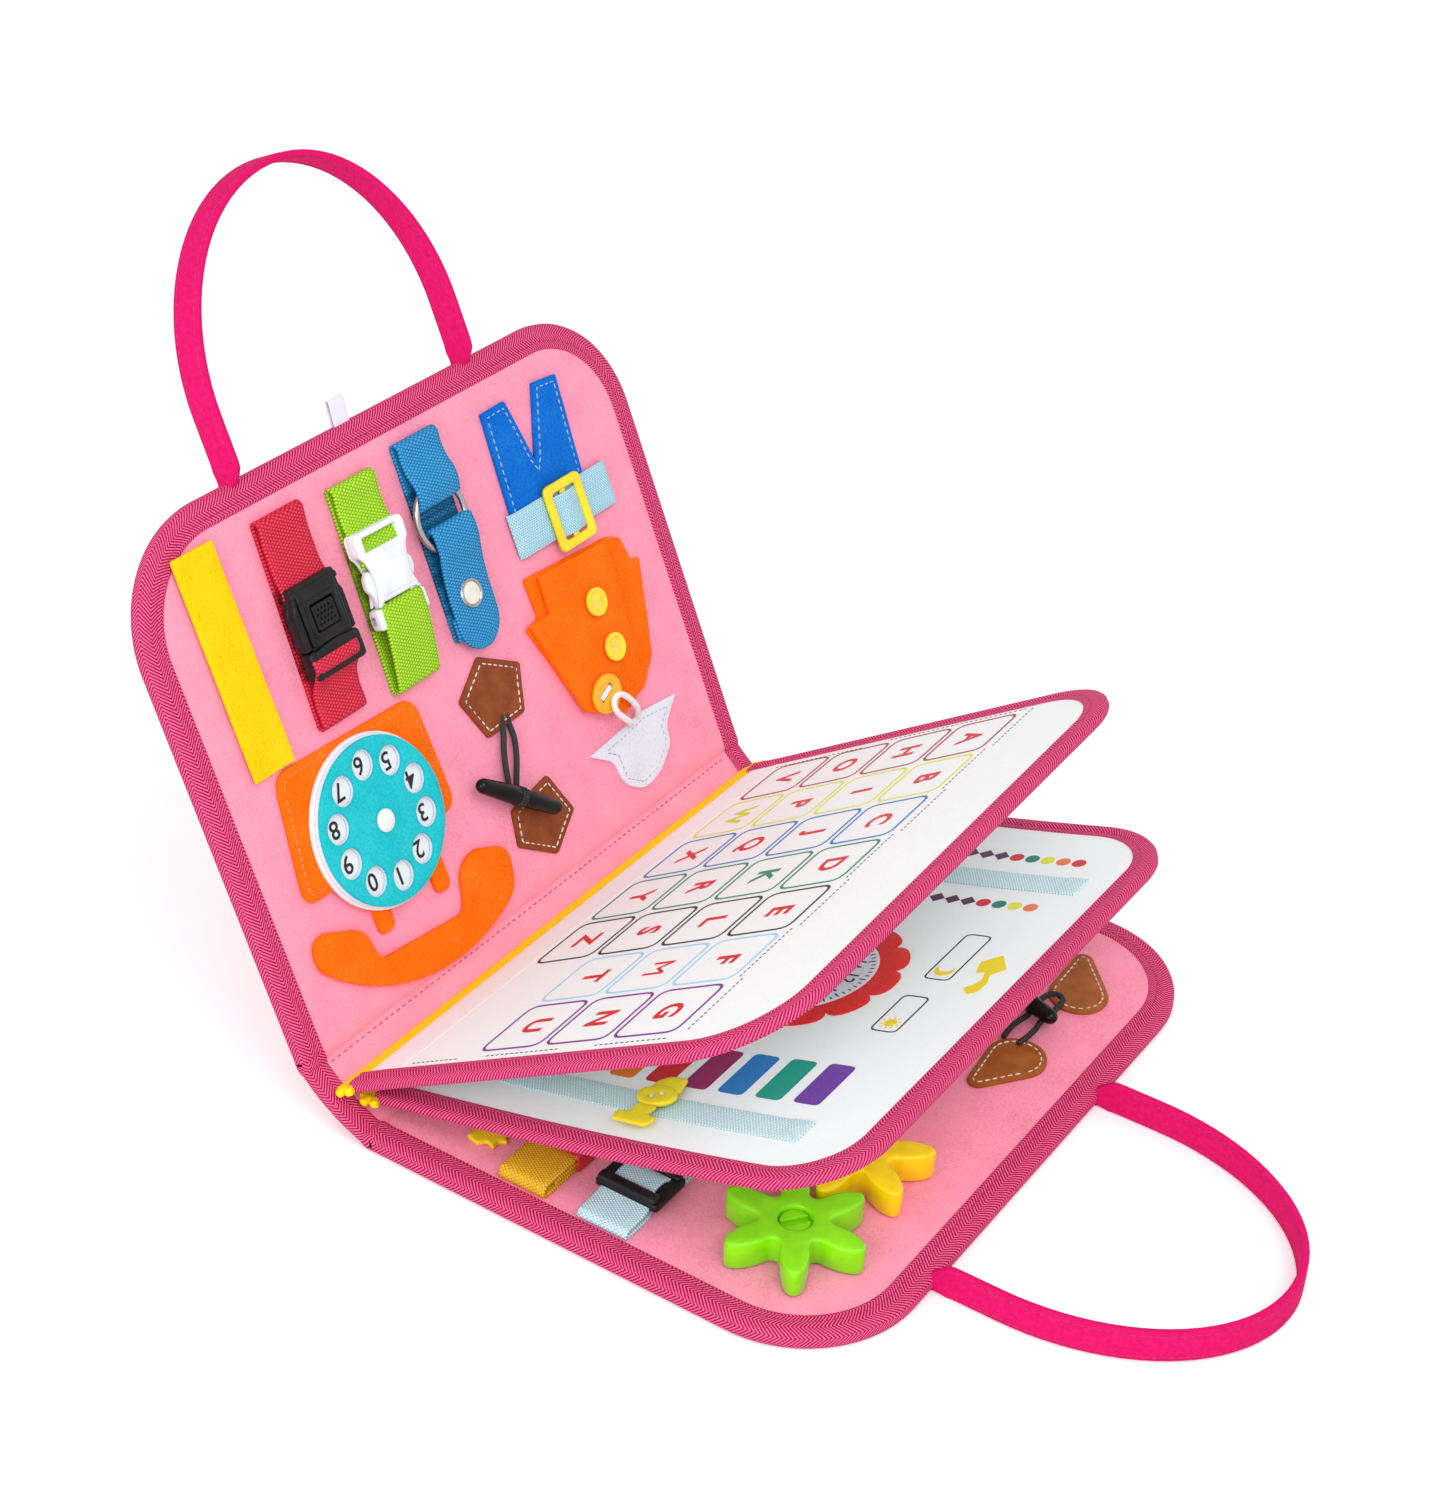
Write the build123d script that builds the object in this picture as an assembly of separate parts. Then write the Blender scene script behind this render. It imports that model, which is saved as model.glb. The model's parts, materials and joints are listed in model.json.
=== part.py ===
# Folding felt busy book: two padded covers, a soft rounded spine, two printed
# pages and the practice pieces sewn to them.  Millimetres, +Z up, X along the spine.
# The front cover lies flat; the back cover leans behind it.  The origin is the
# middle of the front cover's outer face, on the surface that it lies on.
from build123d import *
from math import atan2, cos, degrees, hypot, radians, sin
import os

# ---------------------------------------------------------------- driving sizes
COVER_WIDTH = 300.0          # along the spine
COVER_LENGTH = 217.0         # from its spine seam to its outer edge
COVER_CORNER = 50.0          # outer corner radius
COVER_THICKNESS = 7.2        # over the binding tape
BOARD_THICKNESS = 6.0        # felt, stiffener and felt
BINDING_FACE = 11.0          # tape seen on each face
BINDING_WALL = 1.2           # tape and turned edge outside the board
EDGE_ROUND = 2.2             # outer edges of the tape
SPINE_PANEL = 11.5           # each of the three flats of the spine
SPINE_BEND = 9.3             # between one flat and the next
SPINE_THICKNESS = 3.0
REST_TURN = 66.3             # total turn from the front cover's plane to the back cover's
PAGE_REACH = 220.0           # from the page's pivot to its outer edge
PAGE_ROOT = 22.0             # soft root strip, from its pivot to the line that the page turns on
PAGE_WIDTHS = {"page_1": 288.0, "page_2": 276.0}
PAGE_ANGLES = {"page_1": 31.2, "page_2": 15.7}    # above the front cover, at rest
PAGE_CORNERS = {"page_1": 43.0, "page_2": 37.0}
PAGE_THICKNESS = 5.0         # over the binding tape
PAGE_BOARD = 4.0
PIVOT_INSET = 2.0            # page pivots, in from the middle panel's two edges
PIVOT_HEIGHT = 3.0           # page pivots, above the middle panel's mid surface
FELT = 2.0                   # craft felt
WEBBING = 1.3                # woven strap
FLEX_GAP = 0.3               # between soft faces that move past each other
RUNNING_GAP = 0.05           # radial, between a turned pin and its hole
SEWN_GAP = 0.1               # between layers that lie on each other

# ---------------------------------------------------------------- the folded spine
HALF = COVER_LENGTH / 2
MID_Z = COVER_THICKNESS / 2
FELT_FACE = BOARD_THICKNESS / 2
SEAM_TURN = REST_TURN / 2 - SPINE_BEND


def along(start, length, angle):
    """The (y, z) point at a distance from start, at an angle above +Y."""
    return (start[0] + length * cos(radians(angle)), start[1] + length * sin(radians(angle)))


FRONT_ANGLE = SEAM_TURN
MIDDLE_ANGLE = FRONT_ANGLE + SPINE_BEND
BACK_ANGLE = MIDDLE_ANGLE + SPINE_BEND
FRONT_SEAM = (HALF, MID_Z)
SPINE_LOW = along(FRONT_SEAM, SPINE_PANEL, FRONT_ANGLE)
SPINE_HIGH = along(SPINE_LOW, SPINE_PANEL, MIDDLE_ANGLE)
BACK_SEAM = along(SPINE_HIGH, SPINE_PANEL, BACK_ANGLE)


def page_pivot(distance):
    """A page's pivot line, a distance up the middle panel and proud of its inner face."""
    foot = along(SPINE_LOW, distance, MIDDLE_ANGLE)
    return along(foot, PIVOT_HEIGHT, MIDDLE_ANGLE + 90)


PIVOTS = {
    "page_1": page_pivot(SPINE_PANEL - PIVOT_INSET),
    "page_2": page_pivot(PIVOT_INSET),
}

# Each place is a frame whose XY plane is a face: y runs away from the spine on the
# back cover, towards it (so items have negative y) on the front cover and the pages.
FRONT = Location((0, FRONT_SEAM[0], MID_Z + FELT_FACE))
BACK_MID = Location((0, *BACK_SEAM), (REST_TURN, 0, 0))
BACK = BACK_MID * Location((0, 0, FELT_FACE))
PAGE = {n: Location((0, *PIVOTS[n]), (-PAGE_ANGLES[n], 0, 0)) for n in PIVOTS}
PAGE_FACE = {n: PAGE[n] * Location((0, 0, PAGE_BOARD / 2)) for n in PIVOTS}

nodes = {}


def slab(width, length, thickness, x=0, y=0, z=0, corner=0):
    """A flat block centred on (x, y) with its underside at z, corners rounded if asked."""
    outline = RectangleRounded(width, length, corner) if corner else Rectangle(width, length)
    return Pos(x, y, z) * extrude(outline, thickness)


def disc(radius, thickness, x=0, y=0, z=0):
    return Pos(x, y, z) * extrude(Circle(radius), thickness)


def cut_out(points, thickness, z=0, corner=0):
    """A flat piece cut to a polygon, its corners rounded if asked."""
    face = make_face(Polyline(*points, close=True))
    if corner:
        face = fillet(face.vertices(), corner)
    return Pos(0, 0, z) * extrude(face, thickness)


def rod_along_x(radius, length, y=0, z=0):
    return Pos(0, y, z) * Rot(0, 90, 0) * Cylinder(radius, length)


# ---------------------------------------------------------------- covers and pages
def u_outline(width, length, corner, start=0.0):
    """A sheet with two rounded corners at its far edge and a straight near edge."""
    far = Pos(0, length / 2) * RectangleRounded(width, length, corner)
    near = Pos(0, length / 4) * Rectangle(width, length / 2)
    trim = Pos(0, length / 2 + start) * Rectangle(width, length)
    return (far + near) & trim


def leaf_board(width, length, corner, thickness, start=0.0):
    outline = u_outline(width - 2 * BINDING_WALL, length - BINDING_WALL, corner - BINDING_WALL, start)
    return Pos(0, 0, -thickness / 2) * extrude(outline, thickness)


def leaf_binding(width, length, corner, thickness, board_thickness, face, start, edge_round):
    """Woven tape folded over three edges of a board: a U-shaped channel."""
    whole = Pos(0, 0, -thickness / 2) * extrude(u_outline(width, length, corner, start), thickness)
    whole = fillet(whole.edges().group_by(Axis.Z)[0] + whole.edges().group_by(Axis.Z)[-1], edge_round)
    window = u_outline(width - 2 * face, length - face, corner - face)
    opening = Pos(0, 0, -thickness) * extrude(window, 2 * thickness)
    return whole - opening - leaf_board(width, length, corner, board_thickness)


BINDING_START = 4.0          # the tape's edges stop this far from the seams
cover_board = leaf_board(COVER_WIDTH, COVER_LENGTH, COVER_CORNER, BOARD_THICKNESS)
cover_board += rod_along_x(BOARD_THICKNESS / 2, COVER_WIDTH - 2 * BINDING_WALL)
cover_binding = leaf_binding(
    COVER_WIDTH, COVER_LENGTH, COVER_CORNER, COVER_THICKNESS, BOARD_THICKNESS, BINDING_FACE,
    BINDING_START, EDGE_ROUND
)
FRONT_MID = Location((0, FRONT_SEAM[0], MID_Z), (0, 0, 180))
nodes["front_cover_board"] = FRONT_MID * cover_board
nodes["front_cover_binding"] = FRONT_MID * cover_binding
nodes["back_cover_board"] = BACK_MID * cover_board
nodes["back_cover_binding"] = BACK_MID * cover_binding

# The spine is one soft piece with two bends; its long edges are hollow knuckles about
# the covers' rounded edges.
flat = Pos(0, SPINE_PANEL / 2) * Box(COVER_WIDTH, SPINE_PANEL, SPINE_THICKNESS)
knuckle = rod_along_x(FELT_FACE + FLEX_GAP, COVER_WIDTH + 2)
spine = Location((0, *SPINE_LOW), (MIDDLE_ANGLE, 0, 0)) * flat
for corner in (SPINE_LOW, SPINE_HIGH):
    spine += rod_along_x(SPINE_THICKNESS / 2, COVER_WIDTH, *corner)
spine += Location((0, *FRONT_SEAM), (FRONT_ANGLE, 0, 0)) * (flat - knuckle)
spine += Location((0, *BACK_SEAM), (BACK_ANGLE + 180, 0, 0)) * (flat - knuckle)
nodes["spine_panel"] = spine

PAGE_BINDING_FACE = 10.0
PAGE_EDGE_ROUND = 1.6
BEAD = 1.3                   # rolled edges of the root strip, radius
BOARD_SETBACK = 2.2          # the board's near edge, from the line that the page turns on
for name, width in PAGE_WIDTHS.items():
    near = PAGE_ROOT + BOARD_SETBACK
    board = leaf_board(width, PAGE_REACH, PAGE_CORNERS[name], PAGE_BOARD, near)
    binding = leaf_binding(
        width, PAGE_REACH, PAGE_CORNERS[name], PAGE_THICKNESS, PAGE_BOARD, PAGE_BINDING_FACE,
        near + SEWN_GAP, PAGE_EDGE_ROUND
    )
    root = Pos(0, PAGE_ROOT / 2) * Box(width, PAGE_ROOT, 2 * BEAD)
    root += rod_along_x(BEAD, width) + rod_along_x(BEAD, width, y=PAGE_ROOT)
    turn_round = Rot(0, 0, 180)
    nodes[name + "_board"] = PAGE[name] * turn_round * board
    nodes[name + "_binding"] = PAGE[name] * turn_round * binding
    nodes[name + "_root"] = PAGE[name] * turn_round * root

# ---------------------------------------------------------------- carry handles
HANDLE_STRAP = 3.2           # thickness of the stitched strap
HANDLE_WIDE = 14.0           # its width, on edge
HANDLE_LEG = 19.0            # its straight legs
HANDLE_PIVOT = COVER_LENGTH + HANDLE_WIDE / 2 + FLEX_GAP
FRONT_HANDLE = {"span": 65.0, "rise": 85.0}      # half the loop's width, and its curved part
BACK_HANDLE = {"span": 70.2, "rise": 78.5}
HANDLE_FRONT_X = -21.5
HANDLE_BACK_X = -11.3


def handle_outline(span, rise):
    bow = Pos(0, HANDLE_LEG) * Ellipse(span, rise)
    upper = bow & (Pos(0, HANDLE_LEG + rise) * Rectangle(4 * span, 2 * rise))
    legs = Pos(0, HANDLE_LEG / 2) * Rectangle(2 * span, HANDLE_LEG)
    return upper + legs


def carry_handle(span, rise):
    """A strap loop on edge, its two ends rounded about the line that it swings on."""
    half = HANDLE_STRAP / 2
    loop = handle_outline(span + half, rise + half) - handle_outline(span - half, rise - half)
    strap = Pos(0, 0, -HANDLE_WIDE / 2) * extrude(loop, HANDLE_WIDE)
    for side in (-1, 1):
        strap += Pos(side * span) * rod_along_x(HANDLE_WIDE / 2, HANDLE_STRAP)
    return strap


front_handle_place = Location((HANDLE_FRONT_X, HALF - HANDLE_PIVOT, HANDLE_WIDE / 2), (0, 0, 180))
nodes["front_handle"] = front_handle_place * carry_handle(**FRONT_HANDLE)
back_handle_place = BACK_MID * Pos(HANDLE_BACK_X, HANDLE_PIVOT, HANDLE_WIDE / 2 - MID_Z)
nodes["back_handle"] = back_handle_place * carry_handle(**BACK_HANDLE)

# ---------------------------------------------------------------- meshing gears
GEAR_TIP = 29.3
GEAR_PETALS = 6
PETAL_HALF = 5.4             # half width of a petal, over its straight part
PETAL_STRAIGHT = 18.5        # where it starts to narrow, from the centre
PETAL_END = 3.1              # radius of its tip
VALLEY_ROUND = 3.0
GEAR_HEIGHT = 12.4
GEAR_LIFT = 0.4
GEAR_CENTRES = {"green_gear": (-102.6, -165.9), "yellow_gear": (-55.0, -164.1)}
SCREW_SHAFT = 4.0
SCREW_HEAD = 6.0
SCREW_HEAD_HEIGHT = 2.6
SCREW_SLOT = 1.6
HEAD_RECESS = 4.0
COUNTERBORE = 6.5


def gear_outline():
    """Long petals with round tips, joined by wide hollows at the hub."""
    outline = Sketch()
    hub, shoulder = Circle(PETAL_HALF), Pos(PETAL_STRAIGHT) * Circle(PETAL_HALF)
    end = Pos(GEAR_TIP - PETAL_END) * Circle(PETAL_END)
    for k in range(GEAR_PETALS):
        outline += Rot(0, 0, k * 360 / GEAR_PETALS) * make_hull(hub.edges() + shoulder.edges() + end.edges())
    valleys = [v for v in outline.vertices() if hypot(v.X, v.Y) < 2.2 * PETAL_HALF]
    return fillet(valleys, VALLEY_ROUND)


def flower_gear():
    body = extrude(gear_outline(), GEAR_HEIGHT)
    body -= disc(SCREW_SHAFT + RUNNING_GAP, GEAR_HEIGHT)
    body -= disc(COUNTERBORE, HEAD_RECESS + 1, z=GEAR_HEIGHT - HEAD_RECESS)
    return body


def gear_screw():
    """A fixed axle screw with a slotted head that sits in the gear's counterbore."""
    head_z = GEAR_LIFT + GEAR_HEIGHT - HEAD_RECESS + GEAR_LIFT
    head = disc(SCREW_HEAD, SCREW_HEAD_HEIGHT, z=head_z)
    slot = Pos(0, 0, head_z + SCREW_HEAD_HEIGHT) * Box(2 * SCREW_HEAD, SCREW_SLOT, SCREW_HEAD_HEIGHT)
    return disc(SCREW_SHAFT, head_z) + head - slot


green, yellow = GEAR_CENTRES["green_gear"], GEAR_CENTRES["yellow_gear"]
gear_line = degrees(atan2(yellow[1] - green[1], yellow[0] - green[0]))
half_step = 180 / GEAR_PETALS
gear_phases = {"green_gear": gear_line + half_step, "yellow_gear": gear_line}
screws = []
for name, centre in GEAR_CENTRES.items():
    gear = Pos(*centre, GEAR_LIFT) * Rot(0, 0, gear_phases[name]) * flower_gear()
    nodes[name] = FRONT * gear
    screws.append(FRONT * Pos(*centre) * gear_screw())
nodes["gear_screws"] = Compound(children=screws)

# ---------------------------------------------------------------- straps on the front cover
def folded_strap(width, length, height, x, y):
    """Webbing sewn down and folded back over itself: a flat loop along x."""
    outer = Pos(x, y, height / 2) * Box(length, width, height)
    hollow = Pos(x, y, height / 2) * Box(length - 2 * WEBBING, width + 2, height - 2 * WEBBING)
    return outer - hollow


YELLOW_STRAP = {"width": 21.5, "length": 62.0, "height": 6.5, "x": -107.7, "y": -67.7}
BLUE_STRAP = {"width": 22.5, "length": 66.0, "height": 4.2, "x": -105.7, "y": -104.9}
nodes["yellow_strap"] = FRONT * folded_strap(**YELLOW_STRAP)
nodes["light_blue_strap"] = FRONT * folded_strap(**BLUE_STRAP)

LADDER = {"width": 28.5, "length": 20.5, "height": 6.5, "lift": 4.5}
LADDER_X = -114.0
LADDER_BAR = 4.75


def ladder_buckle():
    """A ladder-lock: a frame with two windows and a raised lip."""
    frame = slab(LADDER["length"], LADDER["width"], LADDER["height"] / 2, corner=2)
    lip = Pos(-LADDER["length"] / 2 + LADDER_BAR / 2, 0, LADDER["height"] / 2)
    frame += lip * Box(LADDER_BAR, LADDER["width"] - 4, LADDER["height"])
    window = (LADDER["length"] - 3 * LADDER_BAR) / 2
    for side in (-1, 1):
        frame -= Pos(side * (window + LADDER_BAR) / 2) * Box(window, LADDER["width"] - 2 * LADDER_BAR, 40)
    return frame


nodes["ladder_buckle"] = FRONT * Pos(LADDER_X, BLUE_STRAP["y"], LADDER["lift"]) * ladder_buckle()

# ---------------------------------------------------------------- toggles and their patches
TOGGLE_LENGTH = 51.0
TOGGLE_RADIUS = 3.6
CORD_RADIUS = 1.0
PATCH = 1.2                  # leather patch
CORD_HEIGHT = PATCH + CORD_RADIUS + SEWN_GAP
TOGGLE_HEIGHT = CORD_HEIGHT + CORD_RADIUS + FLEX_GAP + TOGGLE_RADIUS


def toggle():
    """A tapered plastic peg with domed ends, lying along x."""
    half = TOGGLE_LENGTH / 2
    profile = Polyline((-half, 0), (-half, 2.0), (0, TOGGLE_RADIUS), (half, 2.0), (half, 0), (-half, 0))
    return revolve(make_face(profile), Axis.X)


def cord_loop(length, spread):
    """A doubled cord lying along x from its patch to the toggle's waist."""
    z = CORD_HEIGHT
    path = FilletPolyline((0, -spread / 2, z), (length, -spread / 2, z), (length, spread / 2, z),
                          (0, spread / 2, z), radius=spread * 0.45)
    section = Plane(origin=path @ 0, z_dir=path % 0) * Circle(CORD_RADIUS)
    return sweep(section, path)


def petal(length, width, x, y, turn):
    """A leather patch, round at one end and drawn in at the other."""
    big = Circle(width / 2)
    small = Pos(length - width * 2 / 3) * Circle(width / 6)
    outline = make_hull(big.edges() + small.edges())
    return Pos(x, y) * Rot(0, 0, turn) * extrude(outline, PATCH)


FRONT_TOGGLE = (72.0, -160.8)
front_patches = [petal(39, 25, 41, -180.5, 165), petal(41, 25, 93.4, -181.3, 22.5)]
nodes["front_toggle_patches"] = FRONT * Compound(children=front_patches)
nodes["front_toggle"] = FRONT * Pos(*FRONT_TOGGLE, TOGGLE_HEIGHT) * Rot(0, 0, 73) * toggle()
nodes["front_toggle_cord"] = FRONT * Pos(48, -174) * Rot(0, 0, -2) * cord_loop(38, 7)

PENTAGON_UP = [(8.5, 105.5), (30.5, 93.5), (24, 73.5), (-0.8, 72.5), (-10, 92.7)]
PENTAGON_LOW = [(24, 44), (32.8, 24), (14.6, 11.3), (-5.7, 24.5), (-2.5, 40)]
BACK_TOGGLE = (-1.5, 46.0)
back_patches = [cut_out(p, PATCH, corner=1.5) for p in (PENTAGON_UP, PENTAGON_LOW)]
nodes["back_toggle_patches"] = BACK * Compound(children=back_patches)
nodes["back_toggle"] = BACK * Pos(*BACK_TOGGLE, TOGGLE_HEIGHT) * Rot(0, 0, -37.5) * toggle()
nodes["back_toggle_cord"] = BACK * Pos(12.5, 79) * Rot(0, 0, -110) * cord_loop(36, 10)

# ---------------------------------------------------------------- hook-and-loop strip
STRIP_WIDTH = 22.2
STRIP_LENGTH = 91.0
STRIP_X = -113.2
STRIP_Y = 156.7
STRIP_LAYER = 1.1
LOOP_INSET = 3.4             # the sewn strip's edges, in from those of the one on it
nodes["loop_strip"] = BACK * slab(
    STRIP_WIDTH - 2 * LOOP_INSET, STRIP_LENGTH - 2 * LOOP_INSET, STRIP_LAYER, STRIP_X, STRIP_Y
)
nodes["hook_strip"] = BACK * slab(
    STRIP_WIDTH, STRIP_LENGTH, STRIP_LAYER, STRIP_X, STRIP_Y, STRIP_LAYER + SEWN_GAP
)

# ---------------------------------------------------------------- webbing straps on the back cover
STRAP_WIDTH = 25.5
STRAP_HEIGHT = 3.2           # two layers and the slack between them
BUCKLE_BASE = 3.6            # underside of the buckles, over the webbing
RED_X, GREEN_X, BLUE_X = -69.5, -27.2, 13.8


def buckled_strap(x, low, high, gap_low, gap_high):
    """Webbing sewn flat, its two ends folded back to meet the buckle's halves."""
    length = high - low
    middle = (high + low) / 2
    strap = Pos(x, middle, STRAP_HEIGHT / 2) * Box(STRAP_WIDTH, length, STRAP_HEIGHT)
    slack = STRAP_HEIGHT - 2 * WEBBING
    strap -= Pos(x, middle, STRAP_HEIGHT / 2) * Box(STRAP_WIDTH + 2, length - 2 * WEBBING, slack)
    gap_middle = (gap_low + gap_high) / 2
    strap -= Pos(x, gap_middle, STRAP_HEIGHT) * Box(STRAP_WIDTH + 2, gap_high - gap_low, 2 * (WEBBING + slack / 2))
    return strap


nodes["red_strap"] = BACK * buckled_strap(RED_X, 115.5, 199, 136, 171)
nodes["green_strap"] = BACK * buckled_strap(GREEN_X, 111.5, 196.5, 140, 175)
nodes["blue_strap"] = BACK * buckled_strap(BLUE_X, 116, 200, 128, 176)

# Centre-release buckle: housing, tongue and press button.
RED_BUCKLE = {"width": 28.5, "housing": 25.6, "height": 6.6, "seam": 146.8}
TONGUE = {"width": 20.0, "length": 20.0, "thickness": 1.8, "lift": 5.6}
BUTTON = {"width": 12.0, "length": 10.0, "height": 2.9, "lift": 7.9}
PLUG_LENGTH = 12.5
WEBBING_SLOT = 3.8          # the slots that webbing passes through


def black_housing():
    body = slab(RED_BUCKLE["width"], RED_BUCKLE["housing"], RED_BUCKLE["height"], corner=2.5)
    cavity_z = TONGUE["lift"] - BUCKLE_BASE + TONGUE["thickness"] / 2
    cavity = Pos(0, -4, cavity_z) * Box(TONGUE["width"] + 0.6, RED_BUCKLE["housing"], TONGUE["thickness"] + 0.6)
    shaft_z = RED_BUCKLE["height"]
    shaft = Pos(0, -2, shaft_z) * Box(BUTTON["width"] + 0.6, BUTTON["length"] + 0.6, 2 * (shaft_z - cavity_z))
    slot = Pos(0, RED_BUCKLE["housing"] / 2 - 3.2) * Box(STRAP_WIDTH, 2.4, 30)
    return body - cavity - shaft - slot


def black_plug():
    frame = slab(RED_BUCKLE["width"], PLUG_LENGTH - FLEX_GAP, RED_BUCKLE["height"], y=-PLUG_LENGTH / 2, corner=2)
    frame -= Pos(0, -PLUG_LENGTH / 2 - 1) * Box(RED_BUCKLE["width"] - 7, WEBBING_SLOT, 30)
    tongue_z = TONGUE["lift"] - BUCKLE_BASE
    tongue = slab(TONGUE["width"], TONGUE["length"] + 2, TONGUE["thickness"], 0, TONGUE["length"] / 2 - 1, tongue_z)
    window = Pos(0, RED_BUCKLE["housing"] / 2 - 2, tongue_z) * Box(BUTTON["width"] + 1, BUTTON["length"] + 1, 20)
    return frame + tongue - window


housing_place = Pos(RED_X, RED_BUCKLE["seam"] + RED_BUCKLE["housing"] / 2, BUCKLE_BASE)
nodes["black_buckle_housing"] = BACK * housing_place * black_housing()
nodes["black_buckle_plug"] = BACK * Pos(RED_X, RED_BUCKLE["seam"], BUCKLE_BASE) * black_plug()
button = slab(BUTTON["width"], BUTTON["length"], BUTTON["height"], corner=1.2)
button_place = Pos(RED_X, RED_BUCKLE["seam"] + RED_BUCKLE["housing"] / 2 - 2, BUTTON["lift"])
nodes["black_buckle_button"] = BACK * button_place * button

# Side-release buckle: a socket open at one end, and a plug with two sprung arms.
WHITE_SEAM = 147.0
SOCKET_LENGTH = 31.0
SOCKET_HEIGHT = 6.4
SOCKET_CAVITY = 3.4
ARM_LENGTH = 15.0
ARM_WIDTH = 4.2


def white_socket():
    outline = [(-12.5, 0), (12.5, 0), (10.8, 6), (12.5, 21), (14.5, 23), (14.5, SOCKET_LENGTH),
               (-14.5, SOCKET_LENGTH), (-14.5, 23), (-12.5, 21), (-10.8, 6)]
    body = cut_out(outline, SOCKET_HEIGHT, corner=0.9)
    cavity = Pos(0, 9, SOCKET_HEIGHT / 2) * Box(40, 20, SOCKET_CAVITY)
    web = slab(4.0, 19.5, SOCKET_HEIGHT, 0, 9.75)
    slot = Pos(0, SOCKET_LENGTH - 5.2, SOCKET_HEIGHT / 2) * Box(20, 3.6, 20)
    return body - cavity + web - slot


def white_plug():
    height = SOCKET_CAVITY - 0.6
    base_z = (SOCKET_HEIGHT - height) / 2
    frame = slab(29.0, 9.0 - FLEX_GAP, SOCKET_HEIGHT, y=-4.5, corner=2)
    frame -= Pos(0, -5.2, SOCKET_HEIGHT / 2) * Box(21, 3.6, 20)
    for side in (-1, 1):
        frame += slab(ARM_WIDTH, ARM_LENGTH + 2, height, side * 9.0, ARM_LENGTH / 2 - 1, base_z)
        frame += slab(3.0, 7.0, height, side * 12.2, ARM_LENGTH - 4.5, base_z, corner=1.2)
    return frame


nodes["white_buckle_socket"] = BACK * Pos(GREEN_X, WHITE_SEAM, BUCKLE_BASE) * white_socket()
nodes["white_buckle_plug"] = BACK * Pos(GREEN_X, WHITE_SEAM, BUCKLE_BASE) * white_plug()

# Ring and snap strap.
RING_RADIUS = 14.2
RING_WIRE = 1.4
RING_Y = 166.0
SNAP_ROOT = 147.0
SNAP_LENGTH = 39.0
SNAP_Y = 131.7
ring = Torus(RING_RADIUS, RING_WIRE)
nodes["steel_ring"] = BACK * Pos(BLUE_X, RING_Y, BUCKLE_BASE + RING_WIRE) * ring
snap_end = Pos(0, -SNAP_LENGTH + STRAP_WIDTH / 2) * Circle(STRAP_WIDTH / 2)
snap_body = Pos(0, -(SNAP_LENGTH - STRAP_WIDTH / 2) / 2) * Rectangle(STRAP_WIDTH, SNAP_LENGTH - STRAP_WIDTH / 2)
snap_strap = extrude(snap_end + snap_body, WEBBING)
nodes["snap_strap"] = BACK * Pos(BLUE_X, SNAP_ROOT, BUCKLE_BASE) * snap_strap
cap = disc(6.0, 0.8) + disc(4.2, 1.5)
nodes["snap_cap"] = BACK * Pos(BLUE_X, SNAP_Y, BUCKLE_BASE + WEBBING) * cap

# ---------------------------------------------------------------- trousers, belt and slider
TROUSERS = [(56.8, 194), (72.6, 194.4), (79.3, 165), (92.5, 195.4), (108.1, 194), (104.4, 146), (54.2, 146)]
BELT = {"x": 85.7, "y": 140.7, "length": 68.0, "width": 19.5}
SLIDER = {"x": 85.6, "y": 139.2, "width": 24.6, "length": 29.5, "height": 2.6, "bar": 4.2}
nodes["trousers"] = BACK * cut_out(TROUSERS, FELT)
nodes["belt"] = BACK * slab(BELT["length"], BELT["width"], WEBBING, BELT["x"], BELT["y"], FELT + 0.1)
slider = slab(SLIDER["width"], SLIDER["length"], SLIDER["height"], corner=3)
slider -= Box(SLIDER["width"] - 2 * SLIDER["bar"], SLIDER["length"] - 2 * SLIDER["bar"], 30)
nodes["belt_slider"] = BACK * Pos(SLIDER["x"], SLIDER["y"], FELT + WEBBING + 0.5) * slider

# ---------------------------------------------------------------- buttoned jacket
JACKET_FULL = [(49, 123), (106, 119.5), (114, 116.2), (116.8, 104.2), (122.6, 103.7), (110.3, 61.8),
               (99.1, 50.9), (80.1, 46.5), (55.7, 57.7), (37.6, 105.4), (50, 105.1)]
JACKET_FLAP = [(51, 122.5), (102.8, 119.3), (97.2, 55.5), (88, 56), (70, 81), (48, 90), (42, 105.2), (51, 105.2)]
FLAP_LIFT = FELT + 0.3
nodes["jacket_back"] = BACK * cut_out(JACKET_FULL, FELT)
nodes["jacket_flap"] = BACK * cut_out(JACKET_FLAP, FELT, FLAP_LIFT)
BUTTONS = [(82.3, 98.5), (84.4, 76.5)]
OVAL_BUTTON = (70.0, 60.5)


def sewn_button():
    """A four-hole button with a sunk face, standing on its thread shank."""
    body = disc(6.3, 2.2, z=0.8) - disc(4.6, 1, z=2.4) + disc(2.0, 0.9)
    for dx, dy in ((-1, -1), (-1, 1), (1, -1), (1, 1)):
        body -= disc(0.55, 5, 1.3 * dx, 1.3 * dy)
    return body


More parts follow.
